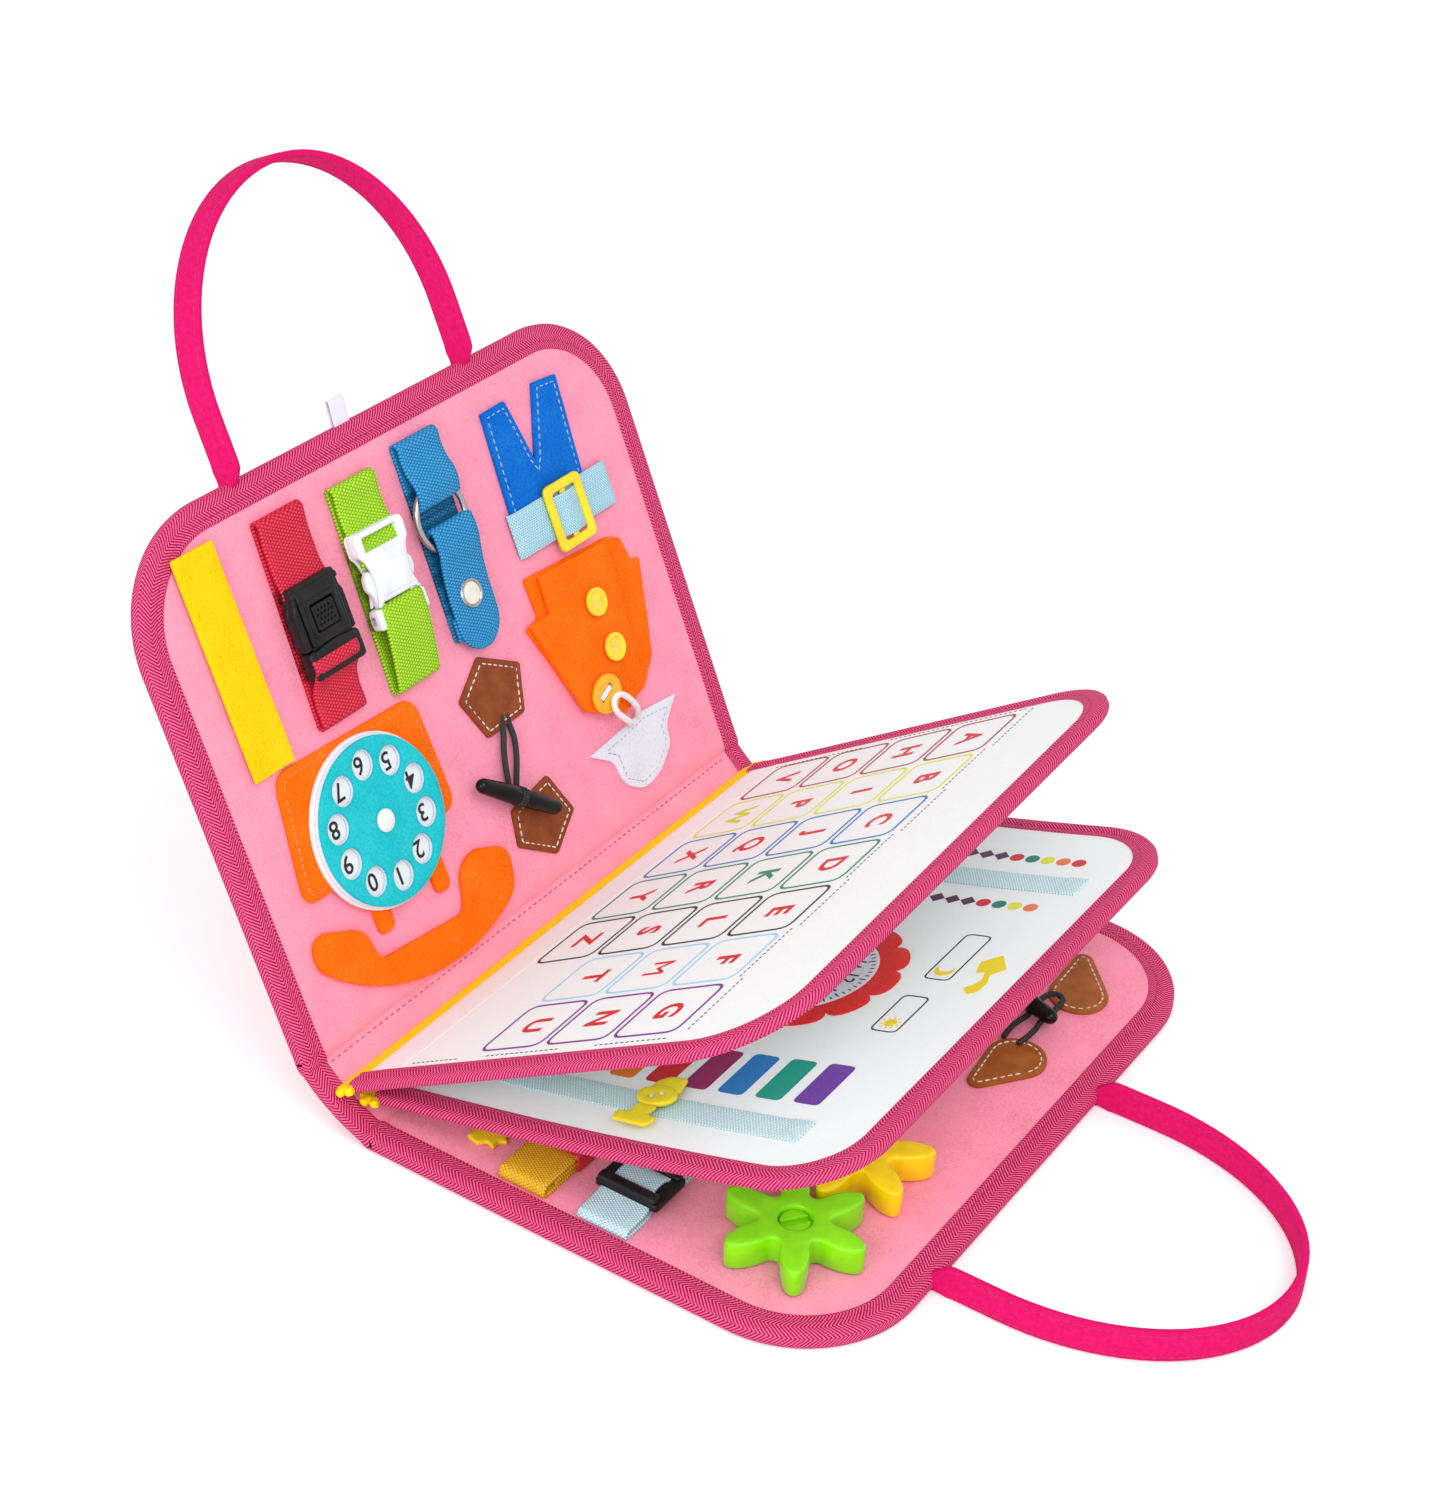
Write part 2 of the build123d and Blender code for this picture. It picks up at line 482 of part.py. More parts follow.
round_buttons = [BACK * Pos(*p, FLAP_LIFT + FELT) * sewn_button() for p in BUTTONS]
nodes["jacket_buttons"] = Compound(children=round_buttons)
oval = extrude(Ellipse(9.5, 8.0), 2.0) - slab(10.0, 3.4, 9, y=0.5, z=-1, corner=1.6)
oval_place = Pos(*OVAL_BUTTON, FLAP_LIFT + FELT + 0.4) * Rot(0, 0, 20)
shank = Pos(*OVAL_BUTTON, FELT) * disc(2.2, FLAP_LIFT + 1.0, y=-4.6)
nodes["oval_button"] = BACK * (oval_place * oval + shank)

COLLAR = [(51.9, 38.7), (80, 41), (91.2, 42.4), (116.8, 39.5), (104.4, 29.5), (104.2, 21.7), (92, 13), (79, 10.7),
          (67, 18), (65.8, 30.1)]
nodes["white_patch"] = BACK * cut_out(COLLAR, PATCH)
LOOP_ROOT = (86.0, 40.0)
LOOP_TURN = 42.0
LOOP_HEIGHT = FLAP_LIFT + FELT + 3.0
loop_strap = slab(10.0, 24.0, 1.2, y=11.0, corner=4.9) - slab(3.8, 17.0, 6, y=11.5, z=-1, corner=1.8)
loop_place = Pos(*LOOP_ROOT, LOOP_HEIGHT) * Rot(0, 0, LOOP_TURN)
nodes["white_loop"] = BACK * loop_place * loop_strap

# ---------------------------------------------------------------- telephone
DIAL_CENTRE = (-75.3, 71.8)
DIAL_RADIUS = 34.8
DIAL_THICKNESS = 3.0
CARD_THICKNESS = 2.2
FINGER_RING = 24.6
FINGER_HOLE = 5.2
FINGER_HOLES = 10
HOLE_PHASE = -126.0          # of the hole marked 0
PIN_HEAD = 4.6
PIN_SHAFT = 2.0


def phone_base():
    """A cut-out body with a narrower skirt and two small feet."""
    body = [(-114.5, 110.2), (-33.5, 107), (-31, 56.7), (-123, 57.5)]
    skirt = [(-106, 60), (-43, 60), (-49, 41), (-95, 41)]
    base = cut_out(body, FELT, corner=8) + cut_out(skirt, FELT, corner=4)
    for x in (-88, -53):
        base += slab(9, 16, FELT, x, 37, corner=4)
    return base


def phone_dial():
    dial = disc(DIAL_RADIUS, DIAL_THICKNESS) - disc(PIN_SHAFT + RUNNING_GAP, DIAL_THICKNESS)
    for k in range(FINGER_HOLES):
        angle = radians(k * 360 / FINGER_HOLES)
        dial -= disc(FINGER_HOLE, DIAL_THICKNESS, FINGER_RING * cos(angle), FINGER_RING * sin(angle))
    return dial


card_z = FELT + 0.1
dial_z = card_z + CARD_THICKNESS + FLEX_GAP
pin_z = dial_z + DIAL_THICKNESS + FLEX_GAP
nodes["phone_base"] = BACK * phone_base()
nodes["dial_card"] = BACK * disc(DIAL_RADIUS + 0.6, CARD_THICKNESS, *DIAL_CENTRE, card_z)
nodes["phone_dial"] = BACK * Pos(*DIAL_CENTRE, dial_z) * Rot(0, 0, HOLE_PHASE) * phone_dial()
dial_pin = disc(PIN_SHAFT, pin_z - dial_z + FLEX_GAP, z=dial_z - FLEX_GAP) + disc(PIN_HEAD, 1.0, z=pin_z)
nodes["dial_pin"] = BACK * Pos(*DIAL_CENTRE) * dial_pin

HANDSET_FELT = 3.0


def handset():
    """A felt receiver: two lobes joined by a bowed grip."""
    with BuildSketch() as sketch:
        with BuildLine():
            rim = [(-128.5, 33), (-127.6, 42.9), (-121.3, 46), (-100.4, 37), (-97.9, 21.8), (-47, 16.2),
                   (-42.3, 32.6), (-31.9, 37.3), (-12.6, 29.4), (-16.1, 11.1)]
            Polyline(*rim)
            ThreePointArc(rim[-1], (-68, 2.0), rim[0])
        make_face()
    corners = sketch.sketch.vertices().filter_by(lambda v: v.Y > 25)
    return extrude(fillet(corners, 2.5), HANDSET_FELT)


nodes["handset"] = BACK * Pos(0, 0, 0.2) * handset()

# ---------------------------------------------------------------- hanging tab
TAB_X = -15.5
TAB_LENGTH = 11.0
tab = Pos(TAB_X, COVER_LENGTH + TAB_LENGTH / 2) * (Box(9, TAB_LENGTH, 2.4) - Pos(0, -1) * Box(12, TAB_LENGTH, 0.8))
nodes["hanging_tab"] = BACK_MID * tab

# ---------------------------------------------------------------- clock and ribbons on page 2
CLOCK = (-3.6, -121.0)
CLOCK_RADIUS = 42.0
HANDS = {"hour_hand": (21.0, 7.0, 0.7, 60), "minute_hand": (32.0, 5.0, 1.5, 0)}
HAND_THICKNESS = 0.7
CLOCK_PIN = 1.5
face = disc(CLOCK_RADIUS, 0.6) + disc(CLOCK_PIN, 2.4) + disc(3.0, 0.6, z=2.3)
nodes["clock_face"] = PAGE_FACE["page_2"] * Pos(*CLOCK) * face
for name, (length, width, lift, turn) in HANDS.items():
    tip = length - width / 2
    outline = make_hull((Circle(width / 2)).edges() + (Pos(tip) * Circle(width / 5)).edges())
    hand = extrude(outline, HAND_THICKNESS) - disc(CLOCK_PIN + RUNNING_GAP, HAND_THICKNESS)
    nodes[name] = PAGE_FACE["page_2"] * Pos(*CLOCK, lift) * Rot(0, 0, turn) * hand

RIBBON = {"width": 13.0, "length": 138.0, "thickness": 0.6}
RIBBON_PLACES = [(-106.0, -118.5), (84.0, -130.0)]
ribbons = [
    PAGE_FACE["page_2"] * slab(RIBBON["width"], RIBBON["length"], RIBBON["thickness"], *place)
    for place in RIBBON_PLACES
]
nodes["page_2_ribbons"] = Compound(children=ribbons)
POINTER_Y = -120.0
pointer = slab(22.0, 9.0, 1.2, corner=2) + slab(11.0, 17.0, 2.0, x=2.0, corner=4)
pointer += cut_out([(6, -5), (17, -2), (17, 2), (6, 5)], 1.2)
pointer_lift = RIBBON["thickness"] + FLEX_GAP
nodes["day_pointer"] = PAGE_FACE["page_2"] * Pos(RIBBON_PLACES[0][0], POINTER_Y, pointer_lift) * pointer

os.makedirs("parts", exist_ok=True)
for name, shape in nodes.items():
    export_step(shape, f"parts/{name}.step")
print(len(nodes), "nodes")
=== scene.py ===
# The looks of a folding felt practice book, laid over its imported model. Every section
# works in the flat frame of the leaf that its pieces are sewn to, in millimetres.
import json
from math import atan2, ceil, cos, degrees, exp, hypot, pi, radians, sin, sqrt

import bmesh
import bpy
from mathutils import Matrix, Vector, noise
from mathutils.geometry import delaunay_2d_cdt, tessellate_polygon

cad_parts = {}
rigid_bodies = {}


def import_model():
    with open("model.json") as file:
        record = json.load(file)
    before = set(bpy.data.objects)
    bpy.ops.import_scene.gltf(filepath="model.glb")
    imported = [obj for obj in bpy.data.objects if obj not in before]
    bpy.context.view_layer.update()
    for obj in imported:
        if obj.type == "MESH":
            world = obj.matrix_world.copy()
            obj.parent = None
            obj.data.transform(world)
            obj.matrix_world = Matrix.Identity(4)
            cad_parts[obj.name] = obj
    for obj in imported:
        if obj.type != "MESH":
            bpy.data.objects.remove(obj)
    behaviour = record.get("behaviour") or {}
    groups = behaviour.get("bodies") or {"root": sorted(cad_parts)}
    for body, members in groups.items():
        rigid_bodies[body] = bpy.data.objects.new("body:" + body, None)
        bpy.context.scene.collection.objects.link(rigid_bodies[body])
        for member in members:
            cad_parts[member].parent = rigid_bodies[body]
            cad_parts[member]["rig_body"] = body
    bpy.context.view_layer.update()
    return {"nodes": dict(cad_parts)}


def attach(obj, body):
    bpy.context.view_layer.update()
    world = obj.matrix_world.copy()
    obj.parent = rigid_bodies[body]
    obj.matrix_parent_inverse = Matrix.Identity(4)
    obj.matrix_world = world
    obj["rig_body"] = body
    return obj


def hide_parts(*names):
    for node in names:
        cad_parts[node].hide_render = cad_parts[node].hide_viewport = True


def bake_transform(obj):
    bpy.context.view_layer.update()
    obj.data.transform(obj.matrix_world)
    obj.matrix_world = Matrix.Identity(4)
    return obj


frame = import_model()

# ---------------------------------------------------------------- camera and light
# A product shot from the near left corner, above the open book, on a white sweep.
MM = 0.001
CAMERA_AT = (-769.53, -437.52, 708.37)
CAMERA_AZIMUTH = radians(-57.75)
CAMERA_ELEVATION = radians(32.49)
CAMERA_ROLL = radians(2.78)
LENS = 66.777

back = Vector((
    sin(CAMERA_AZIMUTH) * cos(CAMERA_ELEVATION),
    -cos(CAMERA_AZIMUTH) * cos(CAMERA_ELEVATION),
    sin(CAMERA_ELEVATION),
))
level = Vector((cos(CAMERA_AZIMUTH), sin(CAMERA_AZIMUTH), 0))
turned = Matrix((level, back.cross(level), back)).transposed() @ Matrix.Rotation(CAMERA_ROLL, 3, "Z")
camera_data = bpy.data.cameras.new("camera")
camera_data.sensor_fit = "VERTICAL"
camera_data.sensor_height = 36
camera_data.lens = LENS
camera_data.clip_start = 0.05
camera_data.clip_end = 50
camera = bpy.data.objects.new("camera", camera_data)
camera.matrix_world = Matrix.Translation(Vector(CAMERA_AT) * MM) @ turned.to_4x4()
bpy.context.scene.collection.objects.link(camera)
bpy.context.scene.camera = camera


def linear(hex_colour):
    """An sRGB hex colour as the linear RGBA that the shaders work in."""
    parts = [int(hex_colour[i:i + 2], 16) / 255 for i in (1, 3, 5)]
    return (*[p / 12.92 if p <= 0.04045 else ((p + 0.055) / 1.055) ** 2.4 for p in parts], 1)


def add(tree, kind, inputs=None, **settings):
    """Adds a shader node with its settings; an input is given a value, or another node's output."""
    made = tree.nodes.new("ShaderNode" + kind)
    for key, value in settings.items():
        setattr(made, key, value)
    for key, value in (inputs or {}).items():
        if isinstance(value, bpy.types.NodeSocket):
            tree.links.new(value, made.inputs[key])
        else:
            made.inputs[key].default_value = value
    return made


def softbox(name, place, target, size, power):
    """A square diffused lamp, aimed at a point."""
    lamp = bpy.data.lights.new(name, "AREA")
    lamp.size = size
    lamp.energy = power
    lit = bpy.data.objects.new(name, lamp)
    lit.location = place
    lit.rotation_euler = (Vector(place) - Vector(target)).to_track_quat("Z", "Y").to_euler()
    bpy.context.scene.collection.objects.link(lit)


BOOK_MIDDLE = (0, 0.05, 0.06)
softbox("key", (-0.55, -0.75, 1.35), BOOK_MIDDLE, 0.9, 9.0)
softbox("fill", (-1.45, -0.1, 0.7), BOOK_MIDDLE, 1.0, 8.5)

world = bpy.data.worlds.new("white sweep")
bpy.context.scene.world = world
world.use_nodes = True
tree = world.node_tree
tree.nodes.clear()
rays = add(tree, "LightPath")
seen = add(tree, "Math", {0: rays.outputs["Is Camera Ray"], 1: rays.outputs["Is Glossy Ray"]}, operation="MAXIMUM")
seen = add(tree, "Math", {0: seen.outputs[0], 1: rays.outputs["Is Transmission Ray"]}, operation="MAXIMUM")
AMBIENT = 0.84
strength = add(tree, "MapRange", {"Value": seen.outputs[0], "To Min": AMBIENT, "To Max": 1.0})
sky = add(tree, "Background", {"Color": (1, 1, 1, 1), "Strength": strength.outputs[0]})
add(tree, "OutputWorld", {"Surface": sky.outputs[0]})
bpy.context.scene.view_settings.view_transform = "Standard"

FLOOR_SIZE = 6.0
FLOOR_DROP = 0.0004
mesh = bpy.data.meshes.new("floor")
half = FLOOR_SIZE / 2
mesh.from_pydata([(-half, -half, -FLOOR_DROP), (half, -half, -FLOOR_DROP), (half, half, -FLOOR_DROP),
                  (-half, half, -FLOOR_DROP)], [], [(0, 1, 2, 3)])
floor = bpy.data.objects.new("floor", mesh)
bpy.context.scene.collection.objects.link(floor)
paper = bpy.data.materials.new("white sweep paper")
paper.use_nodes = True
tree = paper.node_tree
tree.nodes.clear()
rays = add(tree, "LightPath")
lift = add(tree, "Math", {0: rays.outputs["Is Camera Ray"], 1: 0.2}, operation="MULTIPLY")
glow = add(tree, "Emission", {"Color": (1, 1, 1, 1), "Strength": lift.outputs[0]})
matt = add(tree, "BsdfDiffuse", {"Color": linear("#f4f4f4")})
both = add(tree, "AddShader", {0: matt.outputs[0], 1: glow.outputs[0]})
add(tree, "OutputMaterial", {"Surface": both.outputs[0]})
floor.data.materials.append(paper)

# ---------------------------------------------------------------- front and back cover boards
# Two padded leaves: pink craft felt on both faces of a stiff board, stitched right
# through at the edge. The front one lies flat and the back one leans behind it.
COVER_WIDTH = 300.0
COVER_LENGTH = 217.0
COVER_CORNER = 50.0
BOARD_THICKNESS = 6.0
TAPE_WALL = 1.2
COVER_FELT = "#fc98b2"


def leaf_frame(y, z, turn):
    """The frame of a leaf's middle plane: x along the spine, y in the leaf, z out of its face."""
    return Matrix.Scale(MM, 4) @ Matrix.Translation((0, y, z)) @ Matrix.Rotation(radians(turn), 4, "X")


FRONT = leaf_frame(108.5, 3.6, 0)
BACK = leaf_frame(137.13, 22.30, 66.3)
PAGE_1 = leaf_frame(125.33, 15.96, -31.2)
PAGE_2 = leaf_frame(119.05, 11.86, -15.7)
FACE = BOARD_THICKNESS / 2


def sheet_material(name, roughness, specular=0.3):
    """A Principled material and its tree, with the piece's own flat coordinates in millimetres."""
    material = bpy.data.materials.new(name)
    material.use_nodes = True
    tree = material.node_tree
    tree.nodes.clear()
    shader = add(tree, "BsdfPrincipled", {"Roughness": roughness, "Specular IOR Level": specular})
    add(tree, "OutputMaterial", {"Surface": shader.outputs[0]})
    flat = add(tree, "Attribute", attribute_name="cloth")
    return material, tree, shader, flat.outputs["Vector"]


def tones(tree, factor, *stops):
    """A colour ramp from (position, hex colour) stops."""
    ramp = add(tree, "ValToRGB", {"Fac": factor})
    elements = ramp.color_ramp.elements
    while len(elements) < len(stops):
        elements.new(0.5)
    for element, (position, colour) in zip(elements, stops):
        element.position = position
        element.color = linear(colour)
    return ramp.outputs["Color"]


def shade(hex_colour, share):
    """A colour made darker (share below 0) or paler (above 0)."""
    parts = [int(hex_colour[i:i + 2], 16) for i in (1, 3, 5)]
    end = 255 if share > 0 else 0
    return "#" + "".join(f"{round(p + (end - p) * abs(share)):02x}" for p in parts)


def needled_felt(name, colour, fuzz=0.35):
    """Needle-punched polyester felt: fully matt, with a faint halo of fibres at glancing angles
    and a mottle of lighter and darker fibre tufts about 0.5 mm wide."""
    material, tree, shader, flat = sheet_material(name, 0.95, 0.12)
    tufts = add(tree, "TexNoise", {"Vector": flat, "Scale": 1.1, "Detail": 4.0, "Roughness": 0.65})
    cloud = add(tree, "TexNoise", {"Vector": flat, "Scale": 0.06, "Detail": 2.0})
    mixed = add(tree, "Mix", {"Factor": 0.3, "A": tufts.outputs["Fac"], "B": cloud.outputs["Fac"]}, data_type="FLOAT")
    colour_out = tones(tree, mixed.outputs["Result"], (0.32, shade(colour, -0.10)), (0.5, colour), (0.68, shade(colour, 0.13)))
    tree.links.new(colour_out, shader.inputs["Base Color"])
    fibres = add(tree, "TexNoise", {"Vector": flat, "Scale": 2.2, "Detail": 5.0, "Roughness": 0.7})
    bump = add(tree, "Bump", {"Height": fibres.outputs["Fac"], "Strength": 0.35, "Distance": 0.0004})
    tree.links.new(bump.outputs[0], shader.inputs["Normal"])
    shader.inputs["Sheen Weight"].default_value = fuzz
    shader.inputs["Sheen Roughness"].default_value = 0.5
    shader.inputs["Sheen Tint"].default_value = linear(shade(colour, 0.2))
    return material


def make_piece(name, points, faces, place, material, cloth=None, crease=40):
    """A mesh object from points in a leaf's frame; cloth holds its flat pattern coordinates."""
    mesh = bpy.data.meshes.new(name)
    mesh.from_pydata([place @ Vector(p) for p in points], [], faces)
    flat = mesh.attributes.new("cloth", "FLOAT_VECTOR", "POINT")
    flat.data.foreach_set("vector", [c for p in (cloth or points) for c in p])
    bm = bmesh.new()
    bm.from_mesh(mesh)
    bmesh.ops.recalc_face_normals(bm, faces=bm.faces)
    bm.to_mesh(mesh)
    bm.free()
    mesh.shade_smooth()
    mesh.set_sharp_from_angle(angle=radians(crease))
    mesh.materials.append(material)
    made = bpy.data.objects.new(name, mesh)
    bpy.context.scene.collection.objects.link(made)
    return made


def spaced(points, step, closed=True):
    """Points along a line, no further apart than step; corners stay where they are."""
    out = []
    count = len(points)
    for i in range(count if closed else count - 1):
        a, b = Vector(points[i][:2]), Vector(points[(i + 1) % count][:2])
        parts = max(1, ceil((b - a).length / step))
        out += [tuple(a.lerp(b, k / parts)) for k in range(parts)]
    return out if closed else out + [tuple(points[-1][:2])]


def arc(x, y, radius, start, end, parts=None):
    """Points on an arc, its angles in degrees."""
    parts = parts or max(3, ceil(abs(end - start) * radius / 120))
    angles = [radians(start + (end - start) * k / parts) for k in range(parts + 1)]
    return [(x + radius * cos(a), y + radius * sin(a)) for a in angles]


def rounded(points, radius, parts=4):
    """A closed outline with each corner turned into a small arc; radius may be a list."""
    out = []
    count = len(points)
    for i, corner in enumerate(points):
        before, after = Vector(points[i - 1]), Vector(points[(i + 1) % count])
        here = Vector(corner)
        r = radius[i] if isinstance(radius, (list, tuple)) else radius
        to_a, to_b = (before - here), (after - here)
        reach = min(r, to_a.length * 0.49, to_b.length * 0.49)
        a, b = here + to_a.normalized() * reach, here + to_b.normalized() * reach
        if reach < 0.05:
            out.append(tuple(here))
            continue
        for k in range(parts + 1):
            t = k / parts
            out.append(tuple(a * (1 - t) ** 2 + here * 2 * t * (1 - t) + b * t * t))
    return out


def box_outline(width, length, x=0, y=0, corner=2.0):
    w, l = width / 2, length / 2
    return rounded([(x - w, y - l), (x + w, y - l), (x + w, y + l), (x - w, y + l)], corner)


def area_of(loop):
    return sum(a[0] * b[1] - b[0] * a[1] for a, b in zip(loop, loop[1:] + loop[:1])) / 2


def inner_normals(loop):
    """At each point of a loop, the direction into the material on its left, longer at corners."""
    out = []
    count = len(loop)
    for i in range(count):
        a, b, c = (Vector(loop[j % count]) for j in (i - 1, i, i + 1))
        d1, d2 = (b - a).normalized(), (c - b).normalized()
        n1, n2 = Vector((-d1.y, d1.x)), Vector((-d2.y, d2.x))
        n = n1 + n2
        n = n.normalized() if n.length > 1e-6 else n1
        out.append(n / max(0.6, n.dot(n1)))
    return out


SLIVER = 1e-4


def plate_mesh(loops, height, edge=0.5, step=3.0, top=None, base=0.0, bottom_edge=None):
    """Points and faces of a slab cut to the loops, its first the outline and the rest holes, with
    rolled rims; top(x, y) lifts its upper face."""
    bottom_edge = edge if bottom_edge is None else bottom_edge
    lined = []
    for i, loop in enumerate(loops):
        loop = spaced(loop, step)
        if (area_of(loop) > 0) != (i == 0):
            loop = loop[::-1]
        lined.append(loop)
    lift = top or (lambda x, y: 0.0)
    bend = sin(pi / 4)
    rims = [(bottom_edge, 0.0), (bottom_edge * (1 - bend), bottom_edge * (1 - bend)), (0.0, bottom_edge),
            (0.0, height - edge), (edge * (1 - bend), height - edge * (1 - bend)), (edge, height)]
    points, faces = [], []
    caps = {0: [], len(rims) - 1: []}
    for loop in lined:
        normals = inner_normals(loop)
        count = len(loop)
        start = len(points)
        for level_index, (inset, z) in enumerate(rims):
            for (x, y), n in zip(loop, normals):
                px, py = x + n.x * inset, y + n.y * inset
                extra = lift(px, py) * z / height
                points.append((px, py, base + z + extra))
            if level_index in caps:
                caps[level_index].append([start + level_index * count + k for k in range(count)])
        for ring in range(len(rims) - 1):
            for k in range(count):
                a = start + ring * count + k
                b = start + ring * count + (k + 1) % count
                faces.append((a, b, b + count, a + count))
    xs = [p[0] for p in lined[0]]
    ys = [p[1] for p in lined[0]]
    for level_index, rings in caps.items():
        z = rims[level_index][1]
        index = [i for ring in rings for i in ring]
        flat = [Vector(points[i][:2]) for i in index]
        edges, at = [], 0
        for ring in rings:
            edges += [(at + k, at + (k + 1) % len(ring)) for k in range(len(ring))]
            at += len(ring)
        walls = [[points[i][:2] for i in ring] for ring in rings]
        inside = []
        if level_index:
            grid = grid_points(min(xs), max(xs), min(ys), max(ys), step)
            inside = [Vector(p) for p in grid if within(p, walls, step * 0.45)]
        made, _, triangles, origin, _, _ = delaunay_2d_cdt(flat + inside, edges, [], 0, 1e-5)
        triangles = [t for t in triangles if abs(area_of([tuple(made[i]) for i in t])) > SLIVER
                     and within(sum((made[i] for i in t), Vector((0, 0))) / 3, walls)]
        new = []
        for point, source in zip(made, origin):
            if source and source[0] < len(index):
                new.append(index[source[0]])
            else:
                new.append(len(points))
                points.append((point.x, point.y, base + z + (lift(point.x, point.y) if level_index else 0)))
        faces += [tuple(new[i] for i in t) for t in triangles]
    return points, faces


def grid_points(x0, x1, y0, y1, step):
    """A brick-laid grid of points over a rectangle."""
    rows = int((y1 - y0) / (step * 0.87)) + 1
    cols = int((x1 - x0) / step) + 1
    return [(x0 + (c + (r % 2) / 2) * step, y0 + r * step * 0.87) for r in range(rows) for c in range(cols)]


def within(p, loops, margin=0.0):
    """Whether a point lies inside the first loop, outside the others, and off every edge."""
    inside = False
    for loop in loops:
        for (ax, ay), (bx, by) in zip(loop, loop[1:] + loop[:1]):
            if (ay > p[1]) != (by > p[1]) and p[0] < (bx - ax) * (p[1] - ay) / (by - ay) + ax:
                inside = not inside
            if not margin:
                continue
            dx, dy = bx - ax, by - ay
            t = min(1, max(0, ((p[0] - ax) * dx + (p[1] - ay) * dy) / max(dx * dx + dy * dy, 1e-9)))
            if hypot(p[0] - ax - t * dx, p[1] - ay - t * dy) < margin:
                return False
    return inside


def plate(name, loops, height, place, material, base=0.0, turn=None, **shape):
    """A flat piece cut to loops and laid in a leaf's frame; turn is a matrix within that frame."""
    points, faces = plate_mesh(loops, height, base=base, **shape)
    return make_piece(name, points, faces, place @ (turn or Matrix.Identity(4)), material, cloth=points)


def ripple(scale, size, seed=0.0):
    """A lift for a felt face: slow unevenness of the given size in millimetres."""
    return lambda x, y: size * noise.noise(Vector((x / scale + seed, y / scale - seed, seed)))


def leaf_outline(width, length, corner, start, side=1):
    """A leaf's outline from its near edge round its two far corners; side is -1 where y runs back."""
    w = width / 2
    far = arc(w - corner, length - corner, corner, 0, 90) + arc(corner - w, length - corner, corner, 90, 180)
    return [(x, side * y) for x, y in [(w, start), *far, (-w, start)]]


pink_felt = needled_felt("pink needled felt", COVER_FELT)
SEAM_TUCK = -2.0
for cover, place, side in (("front_cover", FRONT, -1), ("back_cover", BACK, 1)):
    outline = leaf_outline(COVER_WIDTH - 2 * TAPE_WALL, COVER_LENGTH - TAPE_WALL, COVER_CORNER - TAPE_WALL, 1.0, side)
    board = plate(cover + "_felt", [outline], BOARD_THICKNESS, place, pink_felt, base=-FACE, edge=1.5, step=6.0,
                  top=ripple(38, 0.16, side + 3.0))
    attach(board, cover)
    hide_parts(cover + "_board")

# ---------------------------------------------------------------- binding tape of the covers
# Magenta herringbone twill tape, folded over three edges of each cover and sewn through
# with one line of matching thread.
TAPE_MAGENTA = "#de1c66"
THREAD_MAGENTA = "#b01050"
COVER_TAPE_FACE = 11.0
SEAM_INSET = 7.4
CHEVRON = 5.2          # width of one slanting column of the herringbone
RIB_PITCH = 1.6        # real ribs are about 0.9 mm; drawn wider so that they show


def herringbone(name, colour, rib=RIB_PITCH, column=CHEVRON, depth=0.5, contrast=1.0):
    """Polyester twill: slanting ribs that turn at each column, with a dull sheen. The colour is
    painted darker in the rib hollows as painted shade and paler on the crests as painted highlight, with pale flecks of
    painted glint where the filaments float."""
    material, tree, shader, flat = sheet_material(name, 0.72, 0.16)
    axes = add(tree, "SeparateXYZ", {0: flat})
    slant = add(tree, "Math", {0: axes.outputs["Y"], 1: column}, operation="PINGPONG")
    along = add(tree, "Math", {0: axes.outputs["X"], 1: slant.outputs[0]}, operation="ADD")
    phase = add(tree, "Math", {0: along.outputs[0], 1: 2 * pi / rib}, operation="MULTIPLY")
    wave = add(tree, "Math", {0: phase.outputs[0]}, operation="SINE")
    flecks = add(tree, "TexNoise", {"Vector": flat, "Scale": 0.9, "Detail": 3.0, "Roughness": 0.7})
    rise = add(tree, "MapRange", {"Value": wave.outputs[0], "From Min": -1.0, "From Max": 1.0})
    both = add(tree, "Mix", {"Factor": 0.38, "A": rise.outputs[0], "B": flecks.outputs["Fac"]}, data_type="FLOAT")
    # painted shade in the rib hollows, painted highlight on the crests, and flecks of painted glint
    out = tones(tree, both.outputs["Result"], (0.3, shade(colour, -0.34 * contrast)),
                (0.52, colour), (0.82, shade(colour, 0.4 * contrast)))
    tree.links.new(out, shader.inputs["Base Color"])
    bump = add(tree, "Bump", {"Height": rise.outputs[0], "Strength": depth, "Distance": 0.0004})
    tree.links.new(bump.outputs[0], shader.inputs["Normal"])
    shader.inputs["Sheen Weight"].default_value = 0.15
    shader.inputs["Sheen Tint"].default_value = linear(colour)
    return material


def thread(name, colour):
    """Twisted polyester sewing thread: a soft lustre on each stitch."""
    material, tree, shader, flat = sheet_material(name, 0.55, 0.4)
    strands = add(tree, "TexNoise", {"Vector": flat, "Scale": 3.0, "Detail": 2.0})
    out = tones(tree, strands.outputs["Fac"], (0.35, shade(colour, -0.15)), (0.65, shade(colour, 0.12)))
    tree.links.new(out, shader.inputs["Base Color"])
    return material


